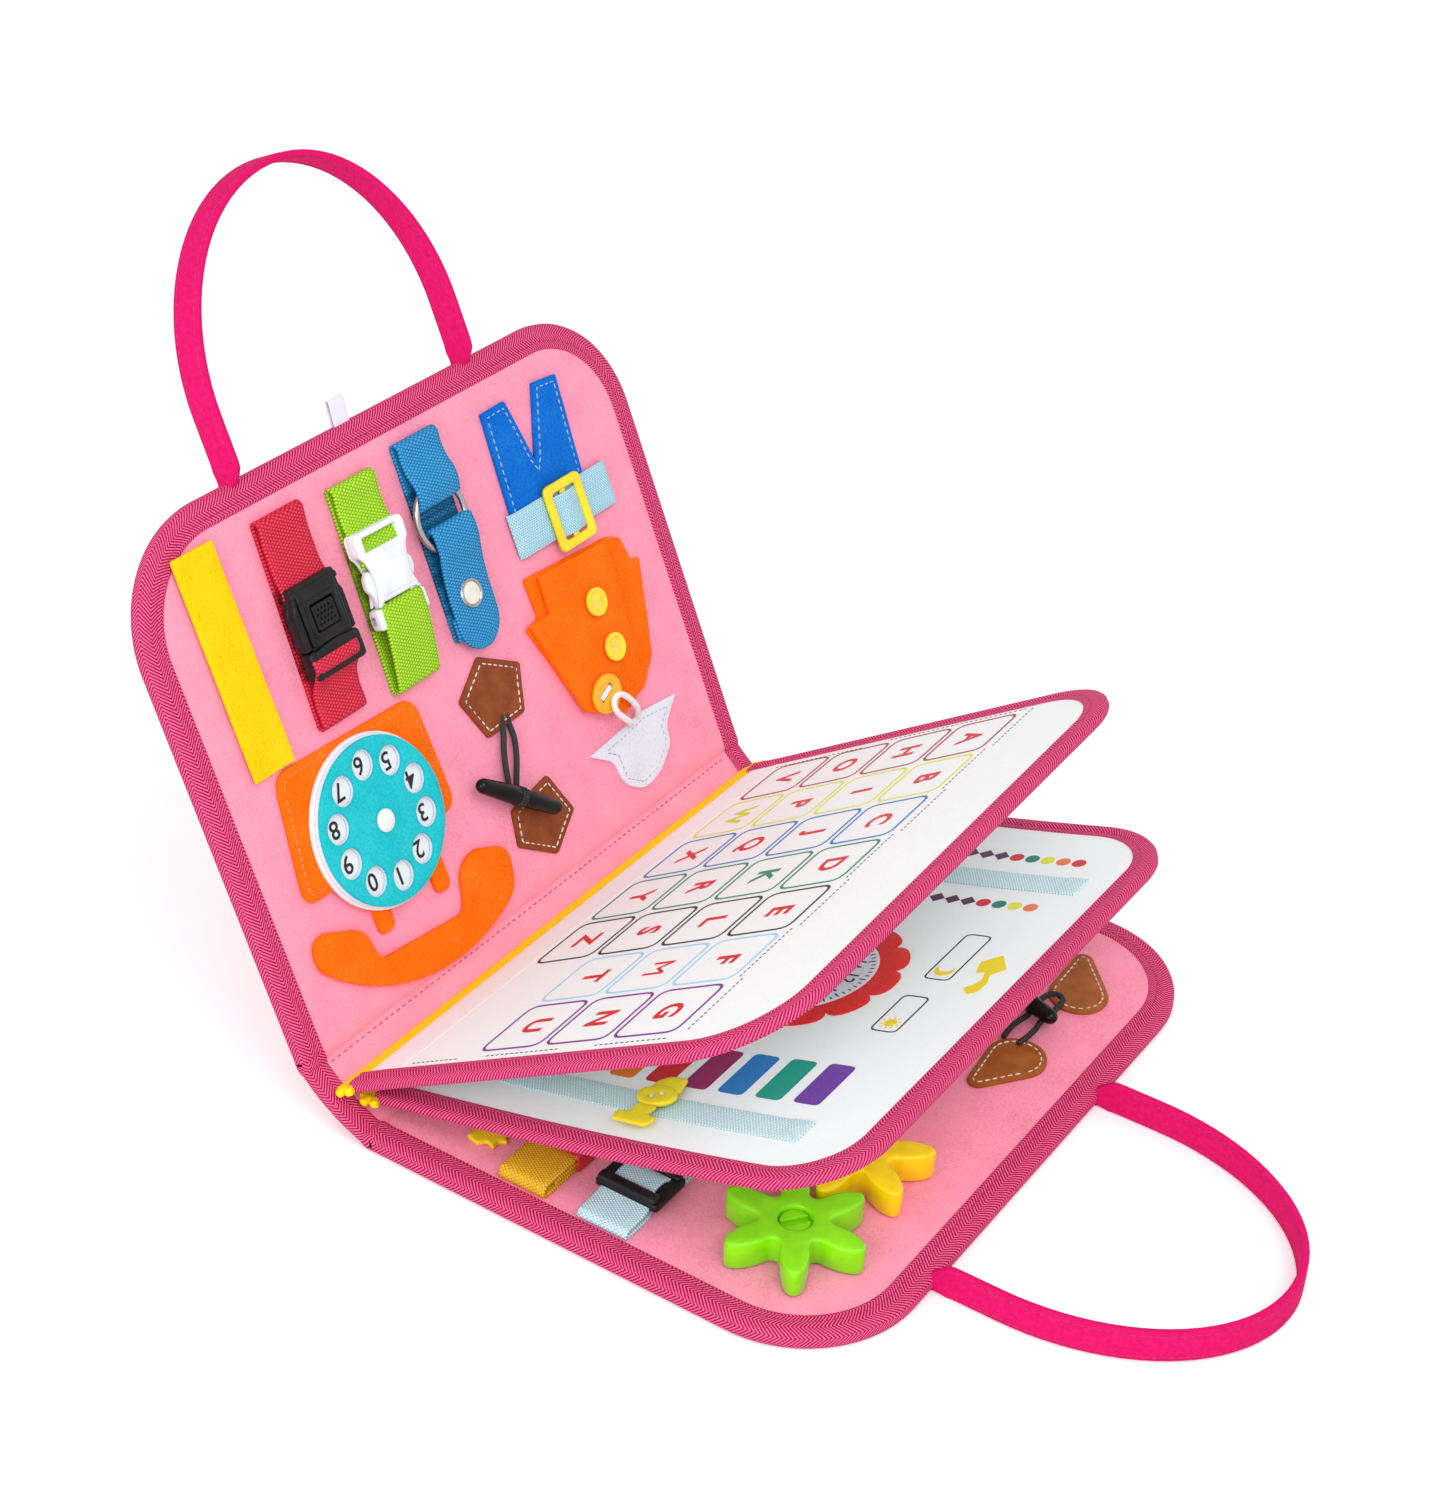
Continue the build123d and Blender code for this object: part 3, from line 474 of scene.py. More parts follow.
def sweep_mesh(stations, section, closed=False, skin=None):
    """A closed section carried along stations of (point, side, up) in millimetres, capped at
    both ends; skin gives the pattern coordinate of each section point."""
    count = len(section)
    if skin is None:
        skin, run = [], 0.0
        for i, p in enumerate(section):
            run += hypot(p[0] - section[i - 1][0], p[1] - section[i - 1][1]) if i else 0
            skin.append(run)
    points, cloth, faces, run = [], [], [], 0.0
    for i, (at, side, up) in enumerate(stations):
        run += (at - stations[i - 1][0]).length if i else 0
        for (u, v), t in zip(section, skin):
            points.append(tuple(at + side * u + up * v))
            cloth.append((run, t, 0.0))
    rings = len(stations)
    for i in range(rings if closed else rings - 1):
        a, b = i * count, ((i + 1) % rings) * count
        faces += [(a + k, a + (k + 1) % count, b + (k + 1) % count, b + k) for k in range(count)]
    if not closed:
        faces += [tuple(range(count))[::-1], tuple(range((rings - 1) * count, rings * count))]
    return points, faces, cloth


def joined(*parts):
    """Several (points, faces, cloth) meshes as one."""
    points, faces, cloth = [], [], []
    for p, f, c in parts:
        at = len(points)
        points += p
        cloth += c
        faces += [tuple(i + at for i in face) for face in f]
    return points, faces, cloth


def edge_stations(outline, step=4.0):
    """Stations along an open leaf outline, their side pointing into the leaf."""
    line = spaced(outline, step, closed=False)
    middle = Vector((0, sum(p[1] for p in line) / len(line)))
    stations = []
    for i, p in enumerate(line):
        a, b = Vector(line[max(0, i - 1)]), Vector(line[min(len(line) - 1, i + 1)])
        d = (b - a).normalized()
        n = Vector((-d.y, d.x))
        if n.dot(middle - Vector(p)) < 0:
            n = -n
        stations.append((Vector((*p, 0)), Vector((*n, 0)), Vector((0, 0, 1))))
    return stations


def tape_section(half, face, wall, board, seam):
    """Folded tape in section: a C about the board's edge, dented along its seam."""
    top = [(0, half * 0.4), (wall * 0.5, half - wall * 0.55), (2.2, half - 0.05), (seam - 1.6, half + 0.08),
           (seam, half - 0.22), (seam + 1.4, half + 0.02), (face - 0.5, half - 0.1), (face, half - 0.45)]
    outer = [(u, -z) for u, z in reversed(top)] + top
    inner = [(face - 0.3, board - 0.15), (wall + 0.1, board - 0.15)]
    return outer + inner + [(u, -z) for u, z in reversed(inner)]


def stitch_mesh(line, pitch=3.0, length=2.1, width=0.55, rise=0.28, sink=0.12, shift=0.0, ups=None):
    """Stitches along a line of 3-D points: each a low rounded dash lying on the surface."""
    points, faces = [], []
    runs = [0.0]
    for a, b in zip(line, line[1:]):
        runs.append(runs[-1] + (Vector(b) - Vector(a)).length)

    def at(run):
        run = min(max(run, 0), runs[-1])
        for i in range(len(runs) - 1):
            if run <= runs[i + 1]:
                t = (run - runs[i]) / max(runs[i + 1] - runs[i], 1e-9)
                up = Vector(ups[i]).lerp(Vector(ups[i + 1]), t) if ups else Vector((0, 0, 1))
                return Vector(line[i]).lerp(Vector(line[i + 1]), t), up.normalized()
        return Vector(line[-1]), Vector(ups[-1]) if ups else Vector((0, 0, 1))

    ring = [(-0.5, -0.2), (-0.35, 0.6), (0, 1.0), (0.35, 0.6), (0.5, -0.2)]
    run = shift + pitch * 0.2
    while run + length < runs[-1]:
        start = len(points)
        for share, size in ((0.0, 0.25), (0.12, 0.8), (0.5, 1.0), (0.88, 0.8), (1.0, 0.25)):
            p, up = at(run + length * share)
            q, _ = at(run + length * min(1, share + 0.1))
            r, _ = at(run + length * max(0, share - 0.1))
            side = (q - r).cross(up).normalized()
            points += [tuple(p + side * u * width * size + up * (v * rise * size - sink * (1 - size))) for u, v in ring]
        for i in range(4):
            a = start + i * 5
            faces += [(a + k, a + (k + 1) % 5, a + 5 + (k + 1) % 5, a + 5 + k) for k in range(5)]
        faces += [tuple(range(start, start + 5))[::-1], tuple(range(start + 20, start + 25))]
        run += pitch
    return points, faces, points


def stitches(name, lines, place, material, **shape):
    """One piece holding the stitches along several lines in a leaf's frame."""
    points, faces, cloth = joined(*[stitch_mesh(line, **shape) for line in lines])
    return make_piece(name, points, faces, place, material, cloth)


magenta_tape = herringbone("magenta herringbone tape", TAPE_MAGENTA)
magenta_thread = thread("magenta sewing thread", THREAD_MAGENTA)
COVER_HALF = 3.6
for cover, place, side in (("front_cover", FRONT, -1), ("back_cover", BACK, 1)):
    outline = leaf_outline(COVER_WIDTH, COVER_LENGTH, COVER_CORNER, 3.5, side)
    stations = edge_stations(outline)
    points, faces, cloth = sweep_mesh(stations, tape_section(COVER_HALF, COVER_TAPE_FACE, TAPE_WALL, FACE, SEAM_INSET))
    tape = make_piece(cover + "_tape", points, faces, place, magenta_tape, cloth, crease=60)
    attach(tape, cover)
    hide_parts(cover + "_binding")
    lines = []
    for face in (1, -1):
        lines.append([tuple(at + inward * SEAM_INSET + up * face * (COVER_HALF - 0.2)) for at, inward, up in stations])
    ups = [(0, 0, 1)] * len(stations)
    sewn = joined(stitch_mesh(lines[0], ups=ups), stitch_mesh(lines[1], ups=[(0, 0, -1)] * len(stations)))
    seam = make_piece(cover + "_tape_seam", sewn[0], sewn[1], place, magenta_thread, sewn[2])
    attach(seam, cover)

# ---------------------------------------------------------------- folded spine
# One length of the same pink felt, creased along two lines and sewn to both covers, with
# the magenta tape carried round its two ends.
SPINE_POINTS = [(108.5, 3.6), (119.02, 8.25), (128.65, 14.54), (137.13, 22.30)]
SPINE_HALF = 1.7
BACK_TURN = radians(66.3)
SPINE_TUCK = 4.5


def spine_line(step=1.4):
    """The spine's middle line in the YZ plane, softened at its creases, from inside the front
    board to inside the back board, as (point, normal, run)."""
    start = Vector((SPINE_POINTS[0][0] - SPINE_TUCK, SPINE_POINTS[0][1]))
    end = Vector(SPINE_POINTS[-1]) + Vector((cos(BACK_TURN), sin(BACK_TURN))) * SPINE_TUCK
    corners = [start, *map(Vector, SPINE_POINTS), end]
    fine = []
    for i, corner in enumerate(corners):
        if i in (0, len(corners) - 1):
            fine.append(corner)
            continue
        a = corner + (corners[i - 1] - corner).normalized() * 3.2
        b = corner + (corners[i + 1] - corner).normalized() * 3.2
        fine += [a * (1 - t) ** 2 + corner * 2 * t * (1 - t) + b * t * t for t in (0, 0.25, 0.5, 0.75, 1)]
    line = [Vector(p) for p in spaced([tuple(p) for p in fine], step, closed=False)]
    out, run = [], 0.0
    for i, p in enumerate(line):
        d = (line[min(i + 1, len(line) - 1)] - line[max(i - 1, 0)]).normalized()
        run += (p - line[i - 1]).length if i else 0
        out.append((p, Vector((-d.y, d.x)), run))
    return out


ROW = Matrix.Scale(MM, 4)
spine_path = spine_line()
spine_middle = spine_path[-1][2] / 2
halves = {
    "front": ([s for s in spine_path if s[2] <= spine_middle + 0.8], "front_cover", "spine", SPINE_POINTS[0], (1, 0)),
    "back": ([s for s in spine_path if s[2] >= spine_middle - 0.8], "spine", "back_cover", SPINE_POINTS[3],
             (cos(BACK_TURN), sin(BACK_TURN))),
}
BEND_REACH = 4.5


def bend_at(piece, a, b, seam, direction, reach=BEND_REACH):
    """Bakes a piece's placement into its mesh; the two bodies, the seam, its direction and the reach are not used."""
    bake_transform(piece)


for end, (path, body_a, body_b, seam, direction) in halves.items():
    if end == "front":
        direction = (Vector(SPINE_POINTS[1]) - Vector(SPINE_POINTS[0])).normalized() + Vector((1, 0))
    else:
        direction = (Vector(SPINE_POINTS[3]) - Vector(SPINE_POINTS[2])).normalized() + Vector(direction)
    # felt: rows across the spine, columns along the book, both faces closed at the rim
    columns = [x * 6.0 for x in range(-24, 25)]
    columns = [-148.6, *columns, 148.6]
    points, cloth, faces = [], [], []
    for face in (1, -1):
        for p, n, run in path:
            buried = min(run, spine_path[-1][2] - run) < SPINE_TUCK - 1.0
            for x in columns:
                wave = 0.18 * noise.noise(Vector((x / 14, run / 5, face)))
                off = face * ((1.2 if buried else SPINE_HALF) + wave)
                points.append((x, p.x + n.x * off, p.y + n.y * off))
                cloth.append((x, run, face * 9.0))
    rows, cols = len(path), len(columns)
    for face in (0, 1):
        for r in range(rows - 1):
            for c in range(cols - 1):
                a = face * rows * cols + r * cols + c
                faces.append((a, a + 1, a + cols + 1, a + cols))
    under = rows * cols
    rim = [c for c in range(cols)] + [r * cols + cols - 1 for r in range(1, rows)]
    rim += [(rows - 1) * cols + c for c in range(cols - 2, -1, -1)] + [r * cols for r in range(rows - 2, 0, -1)]
    faces += [(a, b, b + under, a + under) for a, b in zip(rim, rim[1:] + rim[:1])]
    lining = make_piece(f"spine_felt_{end}", points, faces, ROW, pink_felt, cloth, crease=50)
    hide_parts("spine_panel")
    bend_at(lining, body_a, body_b, seam, direction)
    # tape round the spine's two ends
    parts = []
    for sign in (-1, 1):
        stations = [(Vector((sign * 150.0, p.x, p.y)), Vector((-sign, 0, 0)), Vector((0, n.x, n.y))) for p, n, run in path]
        thin = tape_section(SPINE_HALF + 0.75, COVER_TAPE_FACE, TAPE_WALL, SPINE_HALF, SEAM_INSET)
        thick = tape_section(COVER_HALF + 0.12, COVER_TAPE_FACE + 0.2, TAPE_WALL, FACE, SEAM_INSET)
        made = sweep_mesh(stations, thin)
        count = len(thin)
        for k, (p, n, run) in enumerate(path):
            near = min(run, spine_path[-1][2] - run)
            share = min(1, max(0, (SPINE_TUCK + 1.5 - near) / 3.0))
            share = share * share * (3 - 2 * share)
            at, inward, up = stations[k]
            for m in range(count):
                u = thin[m][0] * (1 - share) + thick[m][0] * share
                v = thin[m][1] * (1 - share) + thick[m][1] * share
                made[0][k * count + m] = tuple(at + inward * u + up * v)
        parts.append(made)
    points, faces, cloth = joined(*parts)
    ends = make_piece(f"spine_tape_{end}", points, faces, ROW, magenta_tape, cloth, crease=60)
    bend_at(ends, body_a, body_b, seam, direction)

# a running seam beside the back crease
seam_thread = thread("dark pink sewing thread", "#cc5c7c")
at, up, _ = min(spine_path, key=lambda s: abs(spine_path[-1][2] - SPINE_TUCK - 2.2 - s[2]))
line = [(x, at.x + up.x * (SPINE_HALF + 0.02), at.y + up.y * (SPINE_HALF + 0.02)) for x in range(-138, 139, 6)]
points, faces, cloth = stitch_mesh(line, pitch=3.6, length=2.3, width=0.8, rise=0.25, ups=[(0, up.x, up.y)] * len(line))
seam_row = make_piece("spine_seam", points, faces, ROW, seam_thread, cloth)
bend_at(seam_row, *halves["back"][1:])

# ---------------------------------------------------------------- page root strips
# Each page hangs from a folded strip of plain yellow cotton tape, sewn into the spine.
# The white page cloth is sewn over its free edge, and the page turns on that line.
ROOT_YELLOW = "#ffe008"
PAGE_ROOT = 22.0
PAGE_SIZES = {"page_1": (288.0, 43.0, PAGE_1), "page_2": (276.0, 37.0, PAGE_2)}
PAGE_LENGTH = 220.0
PAGE_HALF = 2.0
PAGE_TWIST = {"page_1": 8.0, "page_2": 0.0}     # lift of the far outer corner over the near one
PAGE_SAG = {"page_1": 0.0, "page_2": 2.5}       # how far the soft page hangs between its root and its rim


def plain_weave(name, colour, pitch=0.9, roughness=0.85, contrast=0.16, specular=0.2):
    """Plain-woven cotton: a fine grid of crossing threads, matt, a little darker between them as painted shade and
    paler on them as painted highlight.
    """
    material, tree, shader, flat = sheet_material(name, roughness, specular)
    axes = add(tree, "SeparateXYZ", {0: flat})
    waves = []
    for axis in ("X", "Y"):
        phase = add(tree, "Math", {0: axes.outputs[axis], 1: 2 * pi / pitch}, operation="MULTIPLY")
        waves.append(add(tree, "Math", {0: phase.outputs[0]}, operation="SINE"))
    grid = add(tree, "Math", {0: waves[0].outputs[0], 1: waves[1].outputs[0]}, operation="MULTIPLY")
    slub = add(tree, "TexNoise", {"Vector": flat, "Scale": 0.5, "Detail": 3.0})
    rise = add(tree, "MapRange", {"Value": grid.outputs[0], "From Min": -1.0, "From Max": 1.0})
    both = add(tree, "Mix", {"Factor": 0.5, "A": rise.outputs[0], "B": slub.outputs["Fac"]}, data_type="FLOAT")
    # painted shade where the woven grid dips, painted highlight where it rises
    out = tones(tree, both.outputs["Result"], (0.2, shade(colour, -contrast)), (0.5, colour), (0.8, shade(colour, contrast)))
    tree.links.new(out, shader.inputs["Base Color"])
    bump = add(tree, "Bump", {"Height": rise.outputs[0], "Strength": 0.3, "Distance": 0.0002})
    tree.links.new(bump.outputs[0], shader.inputs["Normal"])
    return material


def twist(page, x, y):
    """How far a page's surface stands off its flat plane at a point, as the soft page twists."""
    width = PAGE_SIZES[page][0]
    out = max(0.0, (-y - PAGE_ROOT) / (PAGE_LENGTH - PAGE_ROOT))
    return PAGE_TWIST[page] * out * (x / width) - PAGE_SAG[page] * sin(pi * min(out, 1.0))


def twisted(page, points):
    return [(x, y, z + twist(page, x, y)) for x, y, z in points]


yellow_cotton = plain_weave("yellow cotton tape", ROOT_YELLOW)
white_cloth = plain_weave("white printed polyester", "#f1f6f6", pitch=0.7, roughness=0.6, contrast=0.03, specular=0.35)
for page, (width, corner, place) in PAGE_SIZES.items():
    # the yellow strip: two plies with a soft roll at the spine
    outline = [(-width / 2 + 1, 1.2), (width / 2 - 1, 1.2), (width / 2 - 1, -19.5), (-width / 2 + 1, -19.5)]
    strip = plate(page + "_root_tape", [outline], 2.4, place, yellow_cotton, base=-1.2, edge=0.9, step=4.0,
                  top=ripple(9, 0.35, width))
    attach(strip, page + "_root")
    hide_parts(page + "_root")
    # its knotted ends, showing beside the page's tape
    ends = []
    for sign in (-1, 1):
        for y, turn in ((-3.6, 18), (-8.2, -24)):
            spin = Matrix.Translation((sign * (width / 2 + 0.6), y, 0)) @ Matrix.Rotation(radians(turn * sign), 4, "Z")
            knot = plate_mesh([box_outline(5.2, 3.6, 0, 0, 1.5)], 3.4, edge=1.3, step=1.2, base=-1.7)
            ends.append(([tuple(spin @ Vector(p)) for p in knot[0]], knot[1], knot[0]))
    points, faces, cloth = joined(*ends)
    fix_to_root = make_piece(page + "_root_ends", points, faces, place, yellow_cotton, cloth)
    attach(fix_to_root, page + "_root")
    # the page's cloth, carried over the strip's free edge
    rows = [(-9.0, 1.35), (-10.5, 1.75), (-14.0, 1.8), (-17.5, 1.82), (-21.0, 1.9), (-23.5, 2.0), (-26.5, 2.12), (-28.5, 2.08)]
    columns = [width * (k / 48 - 0.5) * 0.985 for k in range(49)]
    points, faces = [], []
    for face in (1, -1):
        points += [(x, y, face * z + twist(page, x, y)) for y, z in rows for x in columns]
    count, ply = len(columns), len(rows) * len(columns)
    for face in (0, 1):
        for r in range(len(rows) - 1):
            for c in range(count - 1):
                a = face * ply + r * count + c
                faces.append((a, a + 1, a + count + 1, a + count))
    rim = list(range(count)) + [r * count + count - 1 for r in range(1, len(rows))]
    rim += [(len(rows) - 1) * count + c for c in range(count - 2, -1, -1)] + [r * count for r in range(len(rows) - 2, 0, -1)]
    faces += [(a, b, b + ply, a + ply) for a, b in zip(rim, rim[1:] + rim[:1])]
    hinge = make_piece(page + "_hinge_cloth", points, faces, place, white_cloth, points)
    a, b = place @ Vector((0, -PAGE_ROOT + 2.5, 0)), place @ Vector((0, -PAGE_ROOT - 3.5, 0))
    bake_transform(hinge)

# ---------------------------------------------------------------- printed pages
# Two leaves of smooth white printed polyester over thin padding, bound in the same tape.
PAGE_TAPE_FACE = 10.0
PAGE_TAPE_HALF = 2.5
PAGE_START = 25.0
PAGE_TAPE_START = 7.0
for page, (width, corner, place) in PAGE_SIZES.items():
    outline = leaf_outline(width - 2 * TAPE_WALL, PAGE_LENGTH - TAPE_WALL, corner - TAPE_WALL, PAGE_START, -1)
    points, faces = plate_mesh([outline], 2 * PAGE_HALF, edge=1.0, step=7.0, base=-PAGE_HALF)
    board = make_piece(page + "_cloth", twisted(page, points), faces, place, white_cloth, points)
    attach(board, page)
    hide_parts(page + "_board")
    stations = edge_stations(leaf_outline(width, PAGE_LENGTH, corner, PAGE_TAPE_START, -1), 2.5)
    stations = [(Vector(twisted(page, [at])[0]), inward, up) for at, inward, up in stations]
    points, faces, cloth = sweep_mesh(stations, tape_section(PAGE_TAPE_HALF, PAGE_TAPE_FACE, TAPE_WALL, PAGE_HALF, 6.8))
    tape = make_piece(page + "_tape", points, faces, place, magenta_tape, cloth, crease=60)
    a, b = place @ Vector((0, -PAGE_ROOT + 2.5, 0)), place @ Vector((0, -PAGE_ROOT - 3.5, 0))
    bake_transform(tape)
    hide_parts(page + "_binding")
    stations = [s for s in stations if s[0].y < -PAGE_START - 4]
    sewn = joined(*[
        stitch_mesh([tuple(at + inward * 6.8 + up * face * (PAGE_TAPE_HALF - 0.2)) for at, inward, up in stations],
                    ups=[(0, 0, face)] * len(stations))
        for face in (1, -1)
    ])
    seam = make_piece(page + "_tape_seam", sewn[0], sewn[1], place, magenta_thread, sewn[2])
    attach(seam, page)

# ---------------------------------------------------------------- carry handles
# Each is a strap of folded and topstitched magenta cloth, its two ends sewn into the
# cover's binding, where they are drawn flattening down into it.
HANDLE_CLOTH = "#dc0764"
HANDLE_STRAP = 3.2
HANDLE_WIDE = 14.0
HANDLE_LEG = 19.0
HANDLE_PIVOT = COVER_LENGTH + HANDLE_WIDE / 2 + 0.3
HANDLES = {
    "front_handle": {"span": 65.0, "rise": 85.0, "x": -21.5, "side": -1, "cover": "front_cover", "place": FRONT},
    "back_handle": {"span": 70.2, "rise": 78.5, "x": -11.3, "side": 1, "cover": "back_cover", "place": BACK},
}


def strap_section(thick, wide):
    """A folded strap in section, softly crowned, with a turned edge along each side."""
    t, w = thick / 2, wide / 2
    quarter = [(t * 0.55, w), (t * 0.95, w * 0.88), (t * 0.8, w * 0.7), (t, w * 0.35), (t * 1.02, 0)]
    right = quarter + [(u, -v) for u, v in reversed(quarter[:-1])]
    return right + [(-u, -v) for u, v in right]


handle_cloth = plain_weave("magenta folded cloth", HANDLE_CLOTH, pitch=0.8, contrast=0.14, specular=0.1)
for handle, size in HANDLES.items():
    lift = HANDLE_WIDE / 2 - COVER_HALF
    side, x0, span = size["side"], size["x"], size["span"]
    root = HANDLE_PIVOT
    line = [(-span, COVER_LENGTH - 1.0), (-span, COVER_LENGTH + 0.5), (-span, root + HANDLE_LEG)]
    line += [(-span * cos(a), root + HANDLE_LEG + size["rise"] * sin(a)) for a in [radians(k * 4) for k in range(1, 45)]]
    line += [(span, root + HANDLE_LEG), (span, COVER_LENGTH + 0.5), (span, COVER_LENGTH - 1.0)]
    line = spaced(line, 2.5, closed=False)
    stations = []
    for i, (x, y) in enumerate(line):
        a, b = Vector(line[max(0, i - 1)]), Vector(line[min(i + 1, len(line) - 1)])
        d = (b - a).normalized()
        # the ends flatten and go down into the binding
        tuck = min(1.0, max(0.0, (COVER_LENGTH + 9 - y) / 10))
        z = lift * (1 - tuck * tuck * 0.8)
        stations.append((Vector((x0 + x, side * y, z)), Vector((-d.y, side * d.x, 0)), Vector((0, 0, 1))))
    section = strap_section(HANDLE_STRAP, HANDLE_WIDE)
    points, faces, cloth = sweep_mesh(stations, section)
    count = len(section)
    for k, (at, out, up) in enumerate(stations):
        y = abs(at.y)
        narrow = min(1.0, max(0.0, (COVER_LENGTH + 5.5 - y) / 6))
        narrow = narrow * narrow * (3 - 2 * narrow)
        if narrow > 0:
            for m, (u, v) in enumerate(section):
                points[k * count + m] = tuple(at + out * u + up * v * (1 - 0.34 * narrow))
    strap = make_piece(handle + "_strap", points, faces, size["place"], handle_cloth, cloth, crease=60)
    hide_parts(handle)
    parts = []
    inner = [s for s in stations if abs(s[0].y) > COVER_LENGTH + 14]
    for off in (-1, 1):
        for edge in (-1, 1):
            path = [tuple(at + out * off * HANDLE_STRAP * 0.42 + up * edge * HANDLE_WIDE * 0.36) for at, out, up in inner]
            parts.append(stitch_mesh(path, ups=[tuple(out * off) for at, out, up in inner]))
    sewn = joined(*parts)
    seam = make_piece(handle + "_topstitch", sewn[0], sewn[1], size["place"], magenta_thread, sewn[2])
    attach(seam, handle)
    a = size["place"] @ Vector((0, side * (COVER_LENGTH + 0.5), 0))
    b = size["place"] @ Vector((0, side * (COVER_LENGTH + 14), 0))
    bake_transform(strap)

# ---------------------------------------------------------------- hook-and-loop strip
# A yellow peel strip: the narrower loop half is sewn to the felt and the napped hook half
# presses on over it.
BACK_FACE = BACK @ Matrix.Translation((0, 0, FACE))
FRONT_FACE = FRONT @ Matrix.Translation((0, 0, FACE))
STRIP_YELLOW = "#efc906"
STRIP_WIDTH, STRIP_LENGTH, STRIP_X, STRIP_Y, STRIP_LAYER = 22.2, 91.0, -113.2, 156.7, 1.1
LOOP_INSET = 3.4


def fix(piece, body, slot, *nodes):
    """A piece rides on a body and stands for the CAD nodes named; its slot is not used."""
    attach(piece, body)
    if nodes:
        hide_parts(*nodes)
    return piece


napped_yellow = needled_felt("yellow napped nylon", STRIP_YELLOW, fuzz=0.3)
under = plate("loop_tape", [box_outline(STRIP_WIDTH - 2 * LOOP_INSET, STRIP_LENGTH - 2 * LOOP_INSET, STRIP_X, STRIP_Y, 0.8)],
              STRIP_LAYER, BACK_FACE, napped_yellow, edge=0.3)
fix(under, "back_cover", "yellow_tape", "loop_strip")
upper = plate("hook_tape", [box_outline(STRIP_WIDTH, STRIP_LENGTH, STRIP_X, STRIP_Y, 0.8)], STRIP_LAYER + 0.2,
              BACK_FACE, napped_yellow, base=STRIP_LAYER + 0.05, edge=0.45, top=ripple(12, 0.2))
fix(upper, "hook_strip", "yellow_tape", "hook_strip")

# ---------------------------------------------------------------- webbing straps on the back cover
# Coarse polypropylene webbing, each length sewn flat to the felt and folded back over
# itself at both ends to carry its buckle half or ring.
STRAP_WIDTH = 25.5
WEBBING = 1.3
RED, GREEN, BLUE = "#d60a30", "#9bd608", "#0c86c6"
STRAPS = {
    "red": {"x": -70.2, "lean": 0.046, "low": 115.5, "high": 199.0, "colour": RED},
    "green": {"x": -28.0, "lean": 0.034, "low": 111.5, "high": 196.5, "colour": GREEN},
    "blue": {"x": 13.4, "lean": 0.02, "low": 116.0, "high": 200.0, "colour": BLUE},
}


def belt_webbing(name, colour, pitch=1.5, column=1.35):
    """Woven polypropylene webbing: short ribs laid like bricks, painted bright on the ribs as painted
    highlight and dark in the gaps between them as painted shade; the plastic yarn has a slight gloss."""
    material, tree, shader, flat = sheet_material(name, 0.55, 0.28)
    axes = add(tree, "SeparateXYZ", {0: flat})
    cell = add(tree, "Math", {0: axes.outputs["Y"], 1: column}, operation="DIVIDE")
    parity = add(tree, "Math", {0: cell.outputs[0], 1: 2.0}, operation="FLOORED_MODULO")
    half_cell = add(tree, "Math", {0: parity.outputs[0], 1: 1.0}, operation="GREATER_THAN")
    step = add(tree, "Math", {0: half_cell.outputs[0], 1: pi}, operation="MULTIPLY")
    phase = add(tree, "Math", {0: axes.outputs["X"], 1: 2 * pi / pitch, 2: step.outputs[0]}, operation="MULTIPLY_ADD")
    rib = add(tree, "Math", {0: phase.outputs[0]}, operation="SINE")
    across = add(tree, "Math", {0: axes.outputs["Y"], 1: 2 * pi / column}, operation="MULTIPLY")
    gap = add(tree, "Math", {0: across.outputs[0]}, operation="COSINE")
    sunk = add(tree, "Math", {0: gap.outputs[0], 1: -0.45, 2: rib.outputs[0]}, operation="MULTIPLY_ADD")
    rise = add(tree, "MapRange", {"Value": sunk.outputs[0], "From Min": -1.3, "From Max": 1.3})
    yarn = add(tree, "TexNoise", {"Vector": flat, "Scale": 0.8, "Detail": 3.0})
    both = add(tree, "Mix", {"Factor": 0.25, "A": rise.outputs[0], "B": yarn.outputs["Fac"]}, data_type="FLOAT")
    # painted shade in the sunk gaps, painted highlight on the raised ribs
    out = tones(tree, both.outputs["Result"], (0.2, shade(colour, -0.32)), (0.5, colour), (0.82, shade(colour, 0.22)))
    tree.links.new(out, shader.inputs["Base Color"])
    bump = add(tree, "Bump", {"Height": rise.outputs[0], "Strength": 0.6, "Distance": 0.0004})
    tree.links.new(bump.outputs[0], shader.inputs["Normal"])
    return material


def bent(points, radius, parts=5):
    """An open line with its inner corners turned into small arcs."""
    line = [Vector(p) for p in points]
    out = [tuple(line[0])]
    for before, here, after in zip(line, line[1:], line[2:]):
        to_a, to_b = before - here, after - here
        reach = min(radius, to_a.length * 0.49, to_b.length * 0.49)
        a, b = here + to_a.normalized() * reach, here + to_b.normalized() * reach
        out += [tuple(a * (1 - t) ** 2 + here * 2 * t * (1 - t) + b * t * t) for t in (k / parts for k in range(parts + 1))]
    return out + [tuple(line[-1])]


